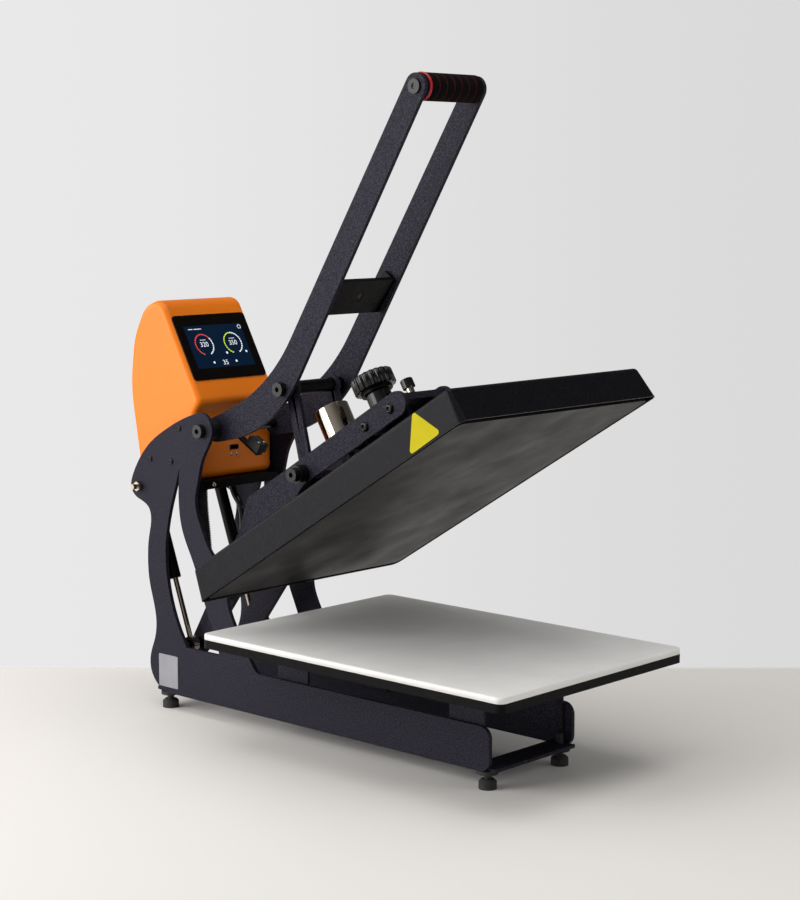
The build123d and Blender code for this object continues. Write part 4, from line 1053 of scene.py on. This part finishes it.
def floor_material():
    """Pale floor that camera rays don't see past the line where the wall starts, nor far from the press."""
    material = bpy.data.materials.new("floor")
    material.use_nodes = True
    tree = material.node_tree
    shader = tree.nodes["Principled BSDF"]
    shader.inputs["Base Color"].default_value = (*FLOOR_COLOR, 1)
    shader.inputs["Roughness"].default_value = 0.7
    shader.inputs["Specular IOR Level"].default_value = 0.25
    spot = tree.nodes.new("ShaderNodeTexCoord").outputs["Object"]
    beyond = along(tree, spot, FLOOR_ACROSS, FLOOR_END - FLOOR_SOFT, FLOOR_END + FLOOR_SOFT)
    distance = tree.nodes.new("ShaderNodeVectorMath")
    distance.operation = "LENGTH"
    tree.links.new(spot, distance.inputs[0])
    far = tree.nodes.new("ShaderNodeMapRange")
    far.inputs["From Min"].default_value, far.inputs["From Max"].default_value = FLOOR_FADE
    tree.links.new(distance.outputs["Value"], far.inputs["Value"])
    camera_ray = tree.nodes.new("ShaderNodeLightPath").outputs["Is Camera Ray"]
    share = math_node(tree, "MULTIPLY", math_node(tree, "MAXIMUM", beyond, far.outputs["Result"]), camera_ray)
    clear = tree.nodes.new("ShaderNodeBsdfTransparent")
    mixed = mix_shaders(tree, share, shader.outputs["BSDF"], clear.outputs["BSDF"])
    tree.links.new(mixed, tree.nodes["Material Output"].inputs["Surface"])
    return material


def add_floor():
    mesh = bmesh.new()
    bmesh.ops.create_grid(mesh, x_segments=2, y_segments=2, size=FLOOR_SIZE / 2)
    data = bpy.data.meshes.new("floor")
    mesh.to_mesh(data)
    mesh.free()
    data.materials.append(floor_material())
    add_object("floor", data)


def add_world():
    """Camera rays see the pale wall, painted darker to the right as painted shade; other rays a soft room that is
    darker to the front right.
    """
    world = bpy.data.worlds.new("studio")
    bpy.context.scene.world = world
    world.use_nodes = True
    tree = world.node_tree
    direction = tree.nodes.new("ShaderNodeTexCoord").outputs["Generated"]
    shade = along(tree, direction, DARK_SIDE, *DARK_SPAN)
    room = tree.nodes["Background"]
    room.inputs["Strength"].default_value = ROOM_STRENGTH
    tree.links.new(blend_colors(tree, shade, (1, 1, 1), (ROOM_DARK_SHARE,) * 3), room.inputs["Color"])
    mirrored = tree.nodes.new("ShaderNodeBackground")
    light, dark = (tuple(channel * part for channel in WALL_LEFT) for part in (MIRROR_SHARE, MIRROR_DARK_SHARE))
    tree.links.new(blend_colors(tree, shade, light, dark), mirrored.inputs["Color"])
    seen = tree.nodes.new("ShaderNodeBackground")
    # Painted shade: the wall that camera rays see darkens from left to right
    across = along(tree, direction, WALL_ACROSS, -WALL_SPREAD, WALL_SPREAD)
    tree.links.new(blend_colors(tree, across, WALL_LEFT, WALL_RIGHT_SHADED), seen.inputs["Color"])
    path = tree.nodes.new("ShaderNodeLightPath")
    last = room.outputs["Background"]
    for ray, shader in (("Is Glossy Ray", mirrored), ("Is Transmission Ray", seen), ("Is Camera Ray", seen)):
        last = mix_shaders(tree, path.outputs[ray], last, shader.outputs["Background"])
    tree.links.new(last, tree.nodes["World Output"].inputs["Surface"])


def add_lamps():
    for name, spot, target, size, watts in LAMPS:
        data = bpy.data.lights.new(name, "AREA")
        data.shape = "RECTANGLE"
        data.size, data.size_y = size
        data.energy = watts
        lamp = add_object(name, data)
        lamp.location = spot
        lamp.rotation_euler = (Vector(spot) - Vector(target)).to_track_quat("Z", "Y").to_euler()


def add_camera():
    data = bpy.data.cameras.new("camera")
    data.sensor_fit = "HORIZONTAL"
    data.sensor_width = SENSOR_WIDTH
    data.lens = FOCAL_PIXELS / FRAME_PIXELS * SENSOR_WIDTH
    data.clip_start, data.clip_end = 0.05, 60
    camera = add_object("camera", data)
    camera.location = place(*CAMERA_PLACE)
    camera.rotation_euler = (CAMERA_TILT, 0, CAMERA_TURN)
    bpy.context.scene.camera = camera


dress_nodes()
add_side_screws()
add_box_screws()
add_patch()
add_label()
add_screen()
add_grip()
add_keeper()
add_levers()
add_knob()
add_pad()
add_switch()
paint_stop_head()
add_leads()
add_floor()
add_world()
add_lamps()
add_camera()
bpy.context.scene.view_settings.view_transform = "Standard"
